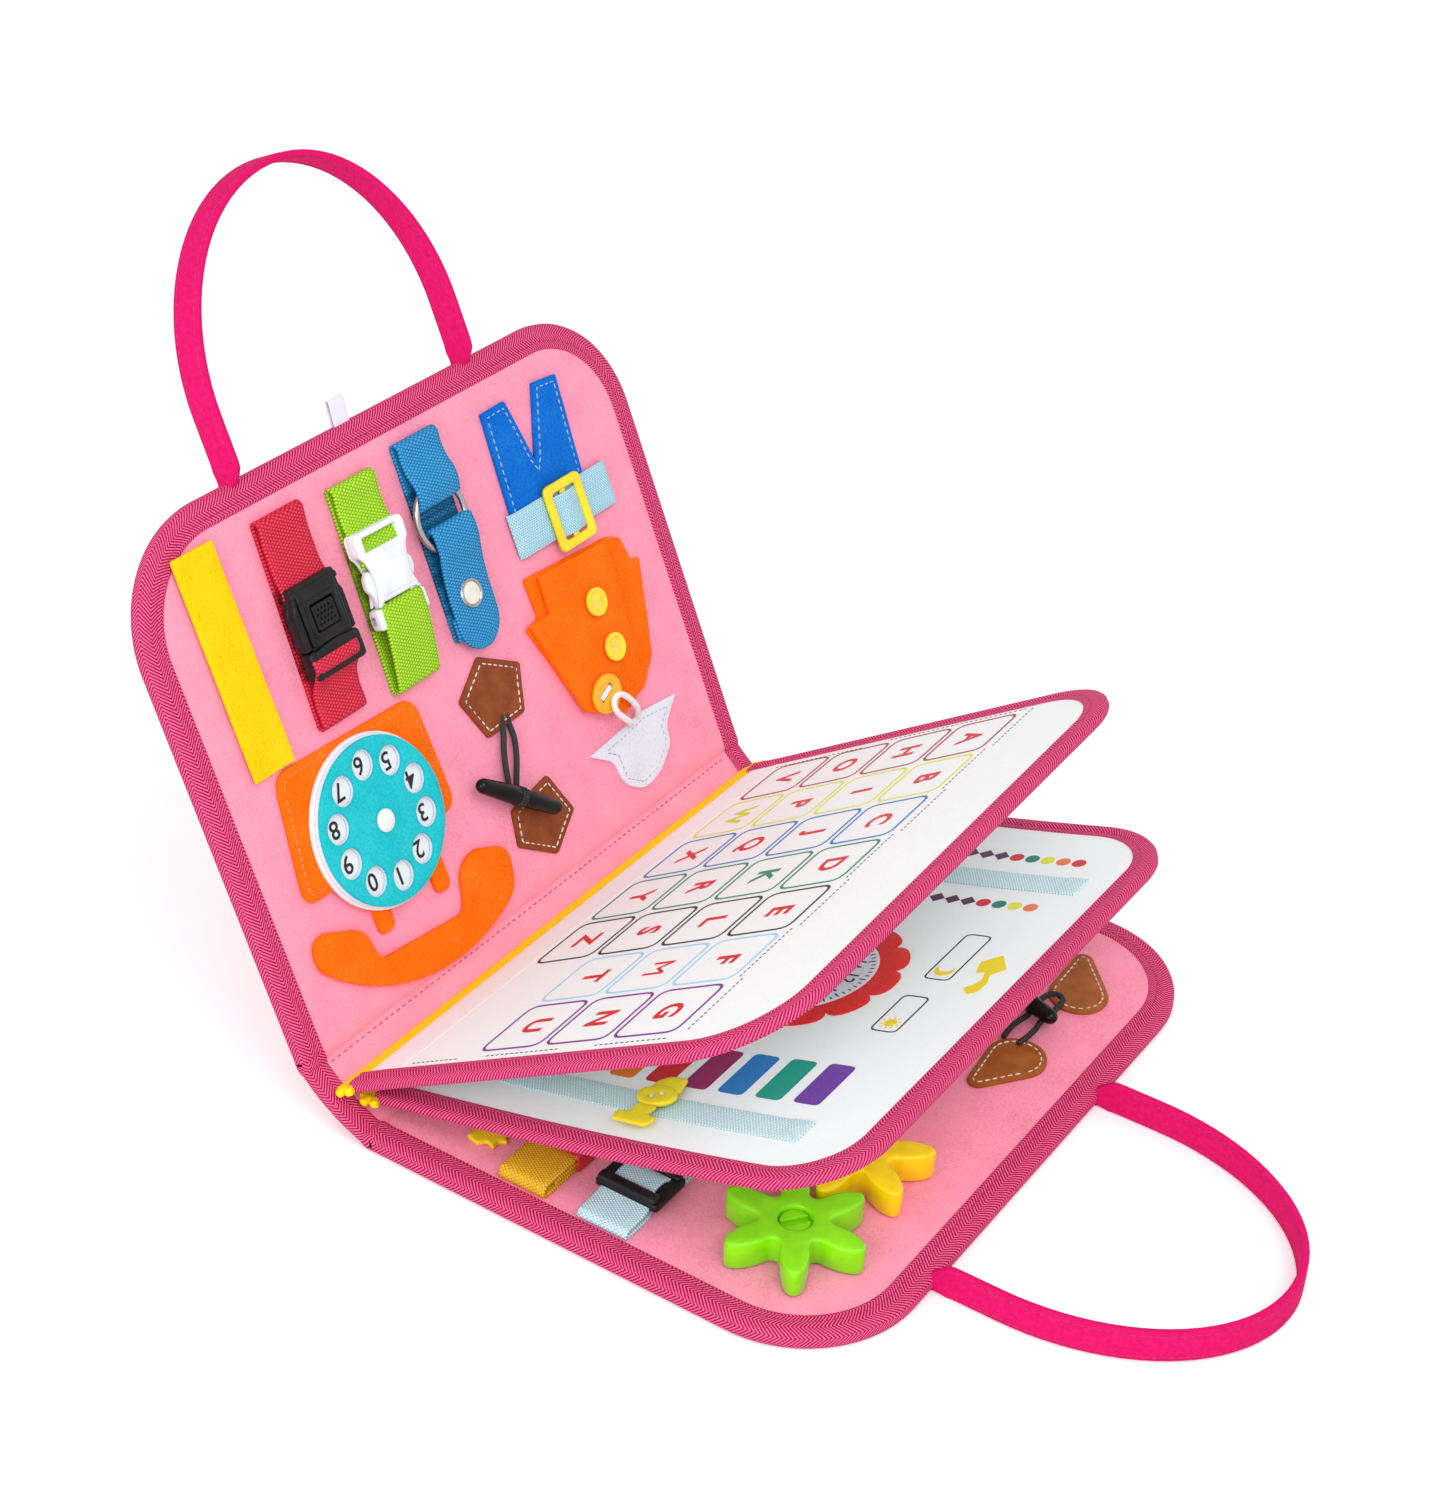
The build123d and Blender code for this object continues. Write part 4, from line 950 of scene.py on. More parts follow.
def band_mesh(path, width, thickness, along="y", centre=(0, 0), lean=0.0, widths=None):
    """Webbing bent along a (run, height) path in a leaf's frame, lying along its x or y axis."""
    line = spaced(path, 2.0, closed=False)
    half, t = width / 2, thickness / 2
    section = [(-half, -t * 0.4), (-half, t * 0.4), (-half + 0.5, t)]
    section += [(-half + 0.5 + (width - 1) * k / 6, t) for k in range(1, 7)]
    section += [(half, t * 0.4), (half, -t * 0.4), (half - 0.5, -t)]
    section += [(half - 0.5 - (width - 1) * k / 6, -t) for k in range(1, 7)]
    stations = []
    for i, (run, z) in enumerate(line):
        a, b = Vector(line[max(0, i - 1)]), Vector(line[min(i + 1, len(line) - 1)])
        d = (b - a).normalized()
        if along == "y":
            at = Vector((centre[0] + lean * (run - centre[1]), run, z))
            stations.append((at, Vector((1, 0, 0)), Vector((0, -d.y, d.x))))
        else:
            at = Vector((run, centre[1] + lean * (run - centre[0]), z))
            stations.append((at, Vector((0, 1, 0)), Vector((-d.y, 0, d.x))))
    points, faces, cloth = sweep_mesh(stations, section)
    skin = [p[0] + half for p in section]
    count = len(section)
    cloth = [(cloth[i][0], skin[i % count], 0.0) for i in range(len(cloth))]
    if widths:
        for k, (run, z) in enumerate(line):
            w = widths(run)
            for m in range(count):
                p = Vector(points[k * count + m])
                at = stations[k][0]
                side = stations[k][1]
                across = (p - at).dot(side)
                points[k * count + m] = tuple(p + side * across * (w / half - 1))
    return points, faces, cloth


weaves = {name: belt_webbing(name + " polypropylene webbing", s["colour"]) for name, s in STRAPS.items()}
LAYER = WEBBING / 2
TOP_LAYER = 3.1
# The ends where each strap is folded over, and what its two free runs reach up to.
runs = {
    "red": [
        [(135, LAYER), (199.4, LAYER), (199.9, 2.6), (198.4, 4.4), (190, 3.4), (176, 3.9), (170.2, 5.6), (168.4, 5.0)],
        [(172, LAYER), (115.9, LAYER), (115.0, 2.4), (116.4, 4.0), (124, 3.3), (131, 4.4), (136.4, 8.6), (139.4, 10.3),
         (143.6, 9.4), (144.6, 7.0)],
    ],
    "green": [
        [(138, LAYER), (196.6, LAYER), (197.3, 2.8), (195.6, 4.6), (187, 3.6), (179, 4.2), (172, 7.6), (166.6, 7.9), (164, 6.6)],
        [(174, LAYER), (112.0, LAYER), (111.1, 3.0), (112.4, 5.2), (120, 6.6), (130, 8.4), (137, 9.3), (145.4, 9.4), (147.2, 8.0),
         (146.4, 6.0)],
    ],
    "blue": [
        [(127, LAYER), (199.8, LAYER), (200.4, 2.8), (198.9, 4.6), (192, 4.0), (186.5, 5.2), (181.6, 7.4), (176.5, 7.4), (172.6, 6.2),
         (171.6, 4.4), (174.0, 2.9)],
        [(180, LAYER), (116.2, LAYER), (115.4, 2.2), (116.8, 3.4), (125, 3.3)],
    ],
}
for name, size in STRAPS.items():
    centre = (size["x"], 157.0)
    parts = [band_mesh(bent(path, 2.2), STRAP_WIDTH, WEBBING, "y", centre, size["lean"]) for path in runs[name]]
    points, faces, cloth = joined(*parts)
    strap = make_piece(name + "_webbing", points, faces, BACK_FACE, weaves[name], cloth, crease=50)
    fix(strap, "back_cover", name + "_webbing", name + "_strap")

# ---------------------------------------------------------------- centre-release buckle
# Black acetal, injection moulded with a fine spark-eroded grain: a housing with a dimpled
# press button in a raised frame, and a plug whose bar carries the lower webbing.
RED_BUCKLE_X, RED_SEAM, BUCKLE_BASE = -69.5, 146.8, 3.6
HOUSING_WIDTH, HOUSING_LENGTH, HOUSING_HEIGHT = 28.5, 25.6, 6.6


def moulded(name, colour, roughness=0.35, grain=0.12, specular=0.5, soft=0.0):
    """Injection-moulded plastic: an even colour, a soft highlight broken by a very fine grain
    and faint flow marks."""
    material, tree, shader, flat = sheet_material(name, roughness, specular)
    flow = add(tree, "TexNoise", {"Vector": flat, "Scale": 0.12, "Detail": 2.0})
    out = tones(tree, flow.outputs["Fac"], (0.35, shade(colour, -0.05)), (0.65, shade(colour, 0.04)))
    tree.links.new(out, shader.inputs["Base Color"])
    fine = add(tree, "TexNoise", {"Vector": flat, "Scale": 2.6, "Detail": 2.0})
    rough = add(tree, "MapRange", {"Value": fine.outputs["Fac"], "To Min": roughness - 0.05, "To Max": roughness + 0.1})
    tree.links.new(rough.outputs[0], shader.inputs["Roughness"])
    bump = add(tree, "Bump", {"Height": fine.outputs["Fac"], "Strength": grain, "Distance": 0.0002})
    tree.links.new(bump.outputs[0], shader.inputs["Normal"])
    shader.inputs["Subsurface Weight"].default_value = soft
    shader.inputs["Subsurface Scale"].default_value = 0.002
    return material


def plates(name, shapes, place, material, body, slot, *nodes):
    """One moulded piece built up from several plates, each (loops, height, base, edge)."""
    parts = []
    for loops, height, base, edge in shapes:
        points, faces = plate_mesh(loops, height, edge=edge, base=base, step=2.2)
        parts.append((points, faces, points))
    points, faces, cloth = joined(*parts)
    return fix(make_piece(name, points, faces, place, material, cloth, crease=50), body, slot, *nodes)


def ring_points(radius, x=0.0, y=0.0, count=16):
    return [(x + radius * cos(2 * pi * k / count), y + radius * sin(2 * pi * k / count)) for k in range(count)]


black_acetal = moulded("black moulded acetal", "#111012", roughness=0.3, grain=0.3, specular=0.24)
housing = BACK_FACE @ Matrix.Translation((RED_BUCKLE_X, RED_SEAM, BUCKLE_BASE))
w, l = HOUSING_WIDTH / 2, HOUSING_LENGTH
side_walls = [(-w, 0), (w, 0), (w, l * 0.62), (w - 1.4, l * 0.72), (w - 1.4, l), (-w + 1.4, l), (-w + 1.4, l * 0.72), (-w, l * 0.62)]
plates("buckle_housing", [
    ([rounded(side_walls, 1.2)], 2.2, 0.0, 0.7),
    ([rounded(side_walls, 1.2), box_outline(21.4, 18.4, 0, 9.9, 0.6)], 3.9, 2.0, 0.8),
    ([box_outline(26.4, 2.6, 0, 22.6, 0.9)], 2.4, 4.2, 0.7),
    ([rounded([(-11, 0.6), (11, 0.6), (11, 22.4), (-11, 22.4)], 1.6), box_outline(13.4, 11.2, 0, 11.2, 1.0)], 1.5, 5.4, 0.6),
    ([rounded([(-8.9, 3.4), (8.9, 3.4), (8.9, 18.8), (-8.9, 18.8)], 1.4), box_outline(13.8, 11.6, 0, 11.0, 1.0)], 1.1, 6.3, 0.45),
], housing, black_acetal, "back_cover", "black_plastic", "black_buckle_housing")
plug = housing
plates("buckle_plug", [
    ([box_outline(HOUSING_WIDTH, 12.0, 0, -6.2, 2.4), box_outline(21.5, 4.6, 0, -7.2, 0.8)], HOUSING_HEIGHT, 0.0, 1.1),
    ([box_outline(20.0, 20.0, 0, 9.6, 1.0), box_outline(14.2, 12.2, 0, HOUSING_LENGTH / 2 - 2, 1.0)], 1.8, 2.1, 0.3),
    ([rounded([(-12.2, -2.6), (12.2, -2.6), (10.6, -0.5), (0, 0.6), (-10.6, -0.5)], 0.8)], 1.2, 6.0, 0.5),
], plug, black_acetal, "black_buckle_plug", "black_plastic", "black_buckle_plug")
button = housing @ Matrix.Translation((0, HOUSING_LENGTH / 2 - 2, 4.3))
dimples = []
for row in range(4):
    for col in range(5 - row % 2):
        dimples.append((ring_points(0.62, (col - 2 + (row % 2) / 2) * 2.0, (row - 1.5) * 1.9, 8)))
plates("buckle_button", [
    ([box_outline(12.0, 10.0, 0, 0, 1.2)], 2.3, 0.0, 0.4),
    ([box_outline(12.0, 10.0, 0, 0, 1.2), *dimples], 0.7, 2.2, 0.22),
], button, black_acetal, "black_buckle_button", "black_plastic", "black_buckle_button")

# ---------------------------------------------------------------- side-release buckle
# White acetal, smooth from a polished mould: a waisted socket with a slot for the webbing,
# and a plug whose two sprung arms show at the sides.
GREEN_BUCKLE_X, WHITE_SEAM, SOCKET_LENGTH, SOCKET_HEIGHT = -28.4, 147.0, 31.0, 6.4
white_acetal = moulded("white polished acetal", "#eceef4", roughness=0.28, grain=0.06, soft=0.05)
socket = BACK_FACE @ Matrix.Translation((GREEN_BUCKLE_X, WHITE_SEAM, BUCKLE_BASE)) @ Matrix.Rotation(radians(-1.5), 4, "Z")
waist = [(-12.6, 0), (-9.5, 1.6), (9.5, 1.6), (12.6, 0), (11.2, 4.5), (9.9, 8.5), (10.6, 14), (12.4, 19.6), (14.5, 21.6),
         (14.5, SOCKET_LENGTH), (-14.5, SOCKET_LENGTH), (-14.5, 21.6), (-12.4, 19.6), (-10.6, 14), (-9.9, 8.5), (-11.2, 4.5)]
slot = box_outline(20.4, 6.0, 0, SOCKET_LENGTH - 5.6, 1.0)
round_back = [0.8, 1.6, 1.6, 0.8, 2.0, 3.0, 3.0, 2.5, 2.0, 3.2, 3.2, 2.0, 2.5, 3.0, 3.0, 2.0]
plates("socket_shell", [
    ([rounded(waist, round_back), slot], 1.6, 0.0, 0.6),
    ([rounded(waist, round_back), slot], 1.9, SOCKET_HEIGHT - 1.8, 0.9),
    ([box_outline(14.0, 18.6, 0, 10.4, 1.0)], 3.4, 1.5, 0.3),
    ([rounded([(-14.4, 20.6), (14.4, 20.6), (14.4, 30.9), (-14.4, 30.9)], 3), slot], 3.6, 1.4, 0.2),
    ([rounded([(-8.6, 3.6), (8.6, 3.6), (8.0, 9), (8.8, 15), (10.4, 20.6), (-10.4, 20.6), (-8.8, 15), (-8.0, 9)], 1.5)],
     0.55, SOCKET_HEIGHT - 0.1, 0.4),
], socket, white_acetal, "back_cover", "white_plastic", "white_buckle_socket")
plug_arms = []
for sign in (-1, 1):
    arm = [(7.4, -4), (11.4, -4), (11.8, 5), (14.2, 8.4), (14.0, 12.6), (11.6, 15.6), (8.6, 14.0), (8.2, 6)]
    plug_arms.append(([rounded([(sign * x, y) for x, y in arm], 1.2)], 3.0, 1.75, 0.7))
plates("side_plug", [
    ([box_outline(29.0, 8.7, 0, -4.5, 2.6), box_outline(21.0, 3.8, 0, -5.2, 0.9)], 4.4, 0.0, 1.0),
    *[([box_outline(3.6, 8.7, sign * 12.7, -4.5, 1.6)], SOCKET_HEIGHT - 0.2, 0.1, 1.3) for sign in (-1, 1)],
    *plug_arms,
], socket, white_acetal, "white_buckle_plug", "white_plastic", "white_buckle_plug")

# ---------------------------------------------------------------- ring and snap strap
# A welded nickel-plated ring held by the folded webbing, and a round-ended tongue that
# closes on a nickel snap.
RING_RADIUS, RING_WIRE, RING_Y = 14.2, 1.4, 166.0
SNAP_ROOT, SNAP_LENGTH, SNAP_Y, SNAP_X = 147.0, 39.0, 131.7, 13.8


def plated(name, colour, roughness):
    """Nickel-plated steel: a bright mirror finish, slightly clouded and finely scuffed."""
    material, tree, shader, flat = sheet_material(name, roughness)
    shader.inputs["Metallic"].default_value = 1.0
    shader.inputs["Specular IOR Level"].default_value = 0.5
    haze = add(tree, "TexNoise", {"Vector": flat, "Scale": 0.8, "Detail": 4.0})
    out = tones(tree, haze.outputs["Fac"], (0.3, shade(colour, -0.08)), (0.7, colour))
    tree.links.new(out, shader.inputs["Base Color"])
    rough = add(tree, "MapRange", {"Value": haze.outputs["Fac"], "To Min": roughness, "To Max": roughness + 0.14})
    tree.links.new(rough.outputs[0], shader.inputs["Roughness"])
    return material


def turned_mesh(profile, count=28, axis="z"):
    """A profile of (radius, height) turned about the z axis, or (radius, run) about x."""
    points, faces = [], []
    for r, z in profile:
        for k in range(count):
            a = 2 * pi * k / count
            points.append((r * cos(a), r * sin(a), z) if axis == "z" else (z, r * cos(a), r * sin(a)))
    for i in range(len(profile) - 1):
        for k in range(count):
            a, b = i * count + k, i * count + (k + 1) % count
            faces.append((a, b, b + count, a + count))
    faces += [tuple(range(count))[::-1], tuple(range(len(points) - count, len(points)))]
    return points, faces


nickel = plated("nickel-plated steel", "#b4b2b0", 0.2)
stations = []
for k in range(72):
    a = 2 * pi * k / 72
    out = Vector((cos(a), sin(a), 0))
    stations.append((Vector((STRAPS["blue"]["x"] - 1.2, RING_Y, BUCKLE_BASE + RING_WIRE)) + out * RING_RADIUS, out, Vector((0, 0, 1))))
points, faces, cloth = sweep_mesh(stations, ring_points(RING_WIRE, count=12), closed=True)
fix(make_piece("ring_wire", points, faces, BACK_FACE, nickel, cloth), "steel_ring", "steel", "steel_ring")


def tongue_width(run):
    """Half width of the snap strap: straight, then rounded at its free end."""
    end = SNAP_ROOT - SNAP_LENGTH
    reach = run - end
    if reach >= STRAP_WIDTH / 2:
        return STRAP_WIDTH / 2
    return max(2.0, sqrt(max(0.0, (STRAP_WIDTH / 2) ** 2 - (STRAP_WIDTH / 2 - reach) ** 2)))


path = [(160.5, 3.2), (163.2, 4.6), (162.4, 6.8), (158, 7.5), (152.4, 7.5), (147.5, 6.2), (142, 5.2), (134, 4.5), (122, 4.4), (114, 4.3), (109, 4.3), (108.1, 4.3)]
points, faces, cloth = band_mesh(bent(path, 2.4), STRAP_WIDTH, WEBBING, "y", (SNAP_X, 135.0), 0.03, tongue_width)
tongue = make_piece("snap_tongue", points, faces, BACK_FACE, weaves["blue"], cloth, crease=50)
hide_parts("snap_strap")
a, b = BACK_FACE @ Vector((0, SNAP_ROOT + 3.5, 4.2)), BACK_FACE @ Vector((0, SNAP_ROOT - 3.5, 4.2))
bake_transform(tongue)
cap_z = 5.0
cap_place = BACK_FACE @ Matrix.Translation((SNAP_X - 0.2, SNAP_Y, cap_z))
points, faces = turned_mesh([(0.01, 0.5), (4.8, 0.5), (4.6, 0.85), (3.2, 1.2), (1.6, 1.4), (0.01, 1.45)])
cap_enamel = moulded("pearl enamel", "#e9e4da", roughness=0.16, grain=0.02)
fix(make_piece("snap_enamel", points, faces, cap_place, cap_enamel, points), frame["nodes"]["snap_cap"]["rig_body"], "steel")
points, faces = turned_mesh([(0.01, 0), (6.2, 0), (6.35, 0.4), (6.0, 0.95), (5.4, 1.05), (4.9, 0.7), (4.8, 0.45), (0.01, 0.4)])
fix(make_piece("snap_rivet", points, faces, cap_place, nickel, points), frame["nodes"]["snap_cap"]["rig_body"], "steel", "snap_cap")

# ---------------------------------------------------------------- trousers, belt and slider
# Blue felt dungarees with a pale running stitch, a sky-blue webbing belt sewn across
# them, and a yellow moulded slider that runs on the belt.
TROUSERS = [(56.8, 194), (72.6, 194.4), (79.3, 165), (92.5, 195.4), (108.1, 194), (104.4, 146), (54.2, 146)]
BELT = {"x": 85.7, "y": 140.7, "length": 68.0, "width": 19.5}
SLIDER = {"x": 85.6, "y": 139.2, "width": 24.6, "length": 29.5, "height": 2.6, "bar": 4.2}
FELT = 2.0


def inset(loop, distance):
    """A closed outline drawn in by a distance, for a line of stitches."""
    loop = spaced(loop, 2.0)
    loop = loop if area_of(loop) > 0 else loop[::-1]
    line = [(x + n.x * distance, y + n.y * distance) for (x, y), n in zip(loop, inner_normals(loop))]
    line = [p for p in line if within(p, [loop], distance * 0.94)]
    return line + line[:1]


def at_height(line, z):
    return [(x, y, z) for x, y in line]


blue_felt = needled_felt("blue needled felt", "#0366c8")
pale_thread = thread("pale blue thread", "#bcd6ee")
outline = rounded(TROUSERS, 0.8)
fix(plate("dungarees", [outline], FELT, BACK_FACE, blue_felt, edge=0.5, top=ripple(15, 0.25, 4.0)), "back_cover", "blue_felt", "trousers")
fix(stitches("dungarees_stitch", [at_height(inset(TROUSERS, 2.6), FELT)], BACK_FACE, pale_thread, pitch=3.4, width=0.5),
    "back_cover", "white_cord")
sky_webbing = belt_webbing("sky blue polypropylene webbing", "#aee0f5", pitch=1.25, column=0.95)
x0, x1 = BELT["x"] - BELT["length"] / 2, BELT["x"] + BELT["length"] / 2
path = [(x0, 1.0), (x0 + 2.5, 2.75), (x0 + 12, 2.75), (x1 - 12, 2.75), (x1 - 2.5, 2.75), (x1, 1.0)]
points, faces, cloth = band_mesh(bent(path, 2.0), BELT["width"], WEBBING, "x", (BELT["x"], BELT["y"]), 0.0)
fix(make_piece("belt_webbing", points, faces, BACK_FACE, sky_webbing, cloth, crease=50), "back_cover", "light_blue_webbing", "belt")
yellow_acetal = moulded("yellow moulded acetal", "#f6dc14", roughness=0.3, grain=0.08, soft=0.05)
w, l, b = SLIDER["width"], SLIDER["length"], SLIDER["bar"]
slider_place = BACK_FACE @ Matrix.Translation((SLIDER["x"], SLIDER["y"], FELT + WEBBING + 0.45))
plates("belt_slide", [
    ([box_outline(w, l, 0, 0, 3.4), box_outline(w - 2 * b, l - 2 * b, 0, 0, 1.8)], SLIDER["height"], 0.0, 1.0),
    ([box_outline(3.6, l - b, 0.0, 0, 0.6)], 1.2, 0.2, 0.4),
], slider_place, yellow_acetal, "belt_slider", "yellow_plastic", "belt_slider")
path = [(-w / 2 + b - 1.0, 0.3), (-4.5, 1.2), (-2.0, 2.0), (2.0, 2.0), (4.5, 1.2), (w / 2 - b + 1.0, 0.3)]
points, faces, cloth = band_mesh(bent(path, 1.5), BELT["width"] - 1.4, 0.9, "x", (0, 0), 0.0)
fix(make_piece("belt_over_bar", points, faces, slider_place, sky_webbing, cloth, crease=50), "belt_slider", "light_blue_webbing")

# ---------------------------------------------------------------- buttoned jacket
# Orange felt: a full back piece, a front flap that buttons over it, two sewn four-hole
# buttons and an oval slotted one that takes the white loop.
JACKET_FULL = [(49, 123), (106, 119.5), (114, 116.2), (116.8, 104.2), (122.6, 103.7), (110.3, 61.8),
               (99.1, 50.9), (82, 48.6), (58, 59.8), (40.5, 103.5), (50, 105.1)]
JACKET_FLAP = [(55.5, 121.5), (102.8, 119.3), (97.2, 55.5), (88.5, 49.8), (80.1, 46.9), (56.1, 58.1), (40.9, 104.9), (55, 104.6)]
FLAP_LIFT = FELT + 0.3
BUTTONS = [(82.3, 98.5), (84.4, 76.5)]
OVAL_BUTTON = (70.0, 60.5)
ORANGE = "#f96a02"
orange_felt = needled_felt("orange needled felt", ORANGE)
fix(plate("jacket_body", [rounded(JACKET_FULL, 1.6)], FELT, BACK_FACE, orange_felt, edge=0.5, top=ripple(14, 0.3, 7.0)),
    "back_cover", "orange_felt", "jacket_back")
flap = plate("jacket_front", [rounded(JACKET_FLAP, 1.4)], FELT, BACK_FACE, orange_felt, base=FLAP_LIFT, edge=0.55,
             top=ripple(16, 0.35, 9.0))
fix(flap, "jacket_flap", "orange_felt", "jacket_flap")
button_yellow = moulded("yellow polyester button", "#f8da28", roughness=0.22, grain=0.05, soft=0.08)
cream_thread = thread("cream thread", "#efe3b0")
disc = [(0.01, 0.8), (5.4, 0.8), (6.2, 1.2), (6.4, 1.9), (6.2, 2.7), (5.6, 3.05), (5.0, 2.9), (4.5, 2.45), (3.4, 2.25), (0.01, 2.2)]
parts, ties = [], []
for bx, by in BUTTONS:
    z = FLAP_LIFT + FELT
    points, faces = turned_mesh(disc)
    moved = [(x + bx, y + by, h + z) for x, y, h in points]
    parts.append((moved, faces, moved))
    points, faces = turned_mesh([(1.6, 0), (1.6, 0.9)], 12)
    moved = [(x + bx, y + by, h + z) for x, y, h in points]
    ties.append((moved, faces, moved))
    for dx, dy in ((-1.3, -1.3), (1.3, 1.3), (-1.3, 1.3), (1.3, -1.3)):
        points, faces = turned_mesh([(0.62, 0), (0.62, 0.12)], 10)
        moved = [(x + bx + dx, y + by + dy, h + z + 2.2) for x, y, h in points]
        ties.append((moved, faces, moved))
    for a, b in (((-1.3, -1.3), (1.3, 1.3)), ((-1.3, 1.3), (1.3, -1.3))):
        line = [(bx + a[0], by + a[1], z + 2.5), (bx + b[0], by + b[1], z + 2.5)]
        ties.append(stitch_mesh(line, pitch=4.2, length=3.2, width=0.7, rise=0.35))
points, faces, cloth = joined(*parts)
button_body = frame["nodes"]["jacket_buttons"]["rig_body"]
fix(make_piece("round_buttons", points, faces, BACK_FACE, button_yellow, cloth), button_body, "yellow_plastic", "jacket_buttons")
points, faces, cloth = joined(*ties)
fix(make_piece("button_thread", points, faces, BACK_FACE, cream_thread, cloth), button_body, "white_cord")
oval = [(9.5 * cos(a), 8.0 * sin(a)) for a in (2 * pi * k / 40 for k in range(40))]
oval_slot = box_outline(10.2, 3.6, 0, 0.5, 1.7)
oval_place = BACK_FACE @ Matrix.Translation((*OVAL_BUTTON, FLAP_LIFT + FELT + 0.4)) @ Matrix.Rotation(radians(20), 4, "Z")
rim = [(8.4 * cos(a), 6.9 * sin(a)) for a in (2 * pi * k / 40 for k in range(40))]
oval_yellow = moulded("amber yellow button", "#fbb40e", roughness=0.2, grain=0.05, soft=0.08)
plates("oval_slot_button", [
    ([oval, oval_slot], 1.9, 0.0, 0.75),
    ([oval, rim], 0.9, 1.3, 0.42),
], oval_place, oval_yellow, frame["nodes"]["oval_button"]["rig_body"], "yellow_plastic", "oval_button")

# ---------------------------------------------------------------- white shield and its loop
# A shield of white felt with a grey running stitch, and a doubled white cord that springs
# from under it and slips over the oval button.
SHIELD = [(51.9, 38.7), (80, 41), (91.2, 42.4), (116.8, 39.5), (104.4, 29.5), (104.2, 21.7), (92, 13), (79, 10.7),
          (67, 18), (65.8, 30.1)]
PATCH = 1.2
white_felt = needled_felt("white needled felt", "#dfe1ee", fuzz=0.3)
grey_thread = thread("grey thread", "#a9adc4")
fix(plate("shield_patch", [rounded(SHIELD, [1, 3, 3, 1, 5, 4, 6, 5, 6, 4])], PATCH + 0.5, BACK_FACE, white_felt, edge=0.45,
          top=ripple(12, 0.3, 2.0)), "back_cover", "white_felt", "white_patch")
fix(stitches("shield_stitch", [at_height(inset(SHIELD, 3.2), PATCH + 0.5)], BACK_FACE, grey_thread, pitch=3.0, width=0.45),
    "back_cover", "white_cord")
LOOP_ROOT, LOOP_TURN, LOOP_HEIGHT = (86.0, 40.0), 42.0, FLAP_LIFT + FELT + 3.6
LOOP_CORD = 2.8


def cord_line(route, place, fineness=10):
    """The smooth line of a cord: a NURBS spline over the points of its route, in metres."""
    curve = bpy.data.curves.new("route", "CURVE")
    curve.dimensions = "3D"
    curve.resolution_u = fineness
    spline = curve.splines.new("NURBS")
    spline.points.add(len(route) - 1)
    for point, at in zip(spline.points, route):
        point.co = (*(place @ Vector(at)), 1)
    spline.order_u = 3
    spline.use_endpoint_u = True
    holder = bpy.data.objects.new("route", curve)
    line = bpy.data.meshes.new_from_object(holder)
    points = [v.co.copy() for v in line.vertices]
    bpy.data.objects.remove(holder)
    return points


def corded(name, route, radius, place, material, count=12, flat=1.0):
    """A round cord swept along its route's smooth line; returns the piece and that line."""
    line = cord_line(route, place)
    up = Vector((0, 0, 1))
    stations = []
    for i, at in enumerate(line):
        d = (line[min(i + 1, len(line) - 1)] - line[max(i - 1, 0)]).normalized()
        side = d.cross(up)
        side = side.normalized() if side.length > 0.1 else stations[-1][1]
        up = side.cross(d).normalized()
        stations.append((at / MM, side, up))
    ring = [(x, y * flat) for x, y in ring_points(radius, count=count)]
    points, faces, cloth = sweep_mesh(stations, ring)
    return make_piece(name, points, faces, ROW, material, cloth), line


white_braid = herringbone("white braided cord", "#f4f1ee", rib=1.1, column=1.3, depth=0.4, contrast=0.25)
a = radians(LOOP_TURN)
route = [(-2.0, 0.0, -7.4), (-2.5, 2.4, -6.2), (-3.3, 5.4, -3.4), (-4.4, 9.5, -0.2), (-4.8, 15.0, 0.6), (-4.4, 20.0, 0.6),
         (-1.8, 23.2, 0.6), (1.8, 23.2, 0.6), (4.4, 20.0, 0.6), (4.8, 15.0, 0.6), (4.4, 8.0, -0.6), (3.6, 3.2, -3.2),
         (3.0, 0.4, -5.6), (2.6, -2.4, -7.4)]
loop_place = BACK_FACE @ Matrix.Translation((*LOOP_ROOT, LOOP_HEIGHT)) @ Matrix.Rotation(a, 4, "Z")
white_loop, line = corded("white_loop_cord", route, LOOP_CORD / 2, loop_place, white_braid)
fix(white_loop, "white_loop", "white_cord", "white_loop")
length = sum((q - p).length for p, q in zip(line, line[1:]))

tip_place = oval_place @ Matrix.Translation((0, 0, 0.1))
fix(plate("white_loop_tip", [box_outline(9.0, 2.8, 0, 0.5, 1.3)], 1.5, tip_place, white_braid, edge=0.6, step=1.5), "white_loop", "white_cord")

# ---------------------------------------------------------------- back toggle
# A black resin peg on a doubled black braided cord, between two pieces of brown leather
# cut to pentagons and sewn round with white thread.
PENTAGON_UP = [(8.5, 105.5), (30.5, 93.5), (24, 73.5), (-0.8, 72.5), (-10, 92.7)]
PENTAGON_LOW = [(24, 44), (32.8, 24), (14.6, 11.3), (-5.7, 24.5), (-2.5, 40)]
CORD_RADIUS = 1.0
BACK_CORD_RADIUS = 1.3
CORD_HEIGHT = PATCH + CORD_RADIUS + 0.1
TOGGLE_RADIUS = 3.6
TOGGLE_LENGTH = 51.0
TOGGLE_HEIGHT = CORD_HEIGHT + CORD_RADIUS + 0.3 + TOGGLE_RADIUS


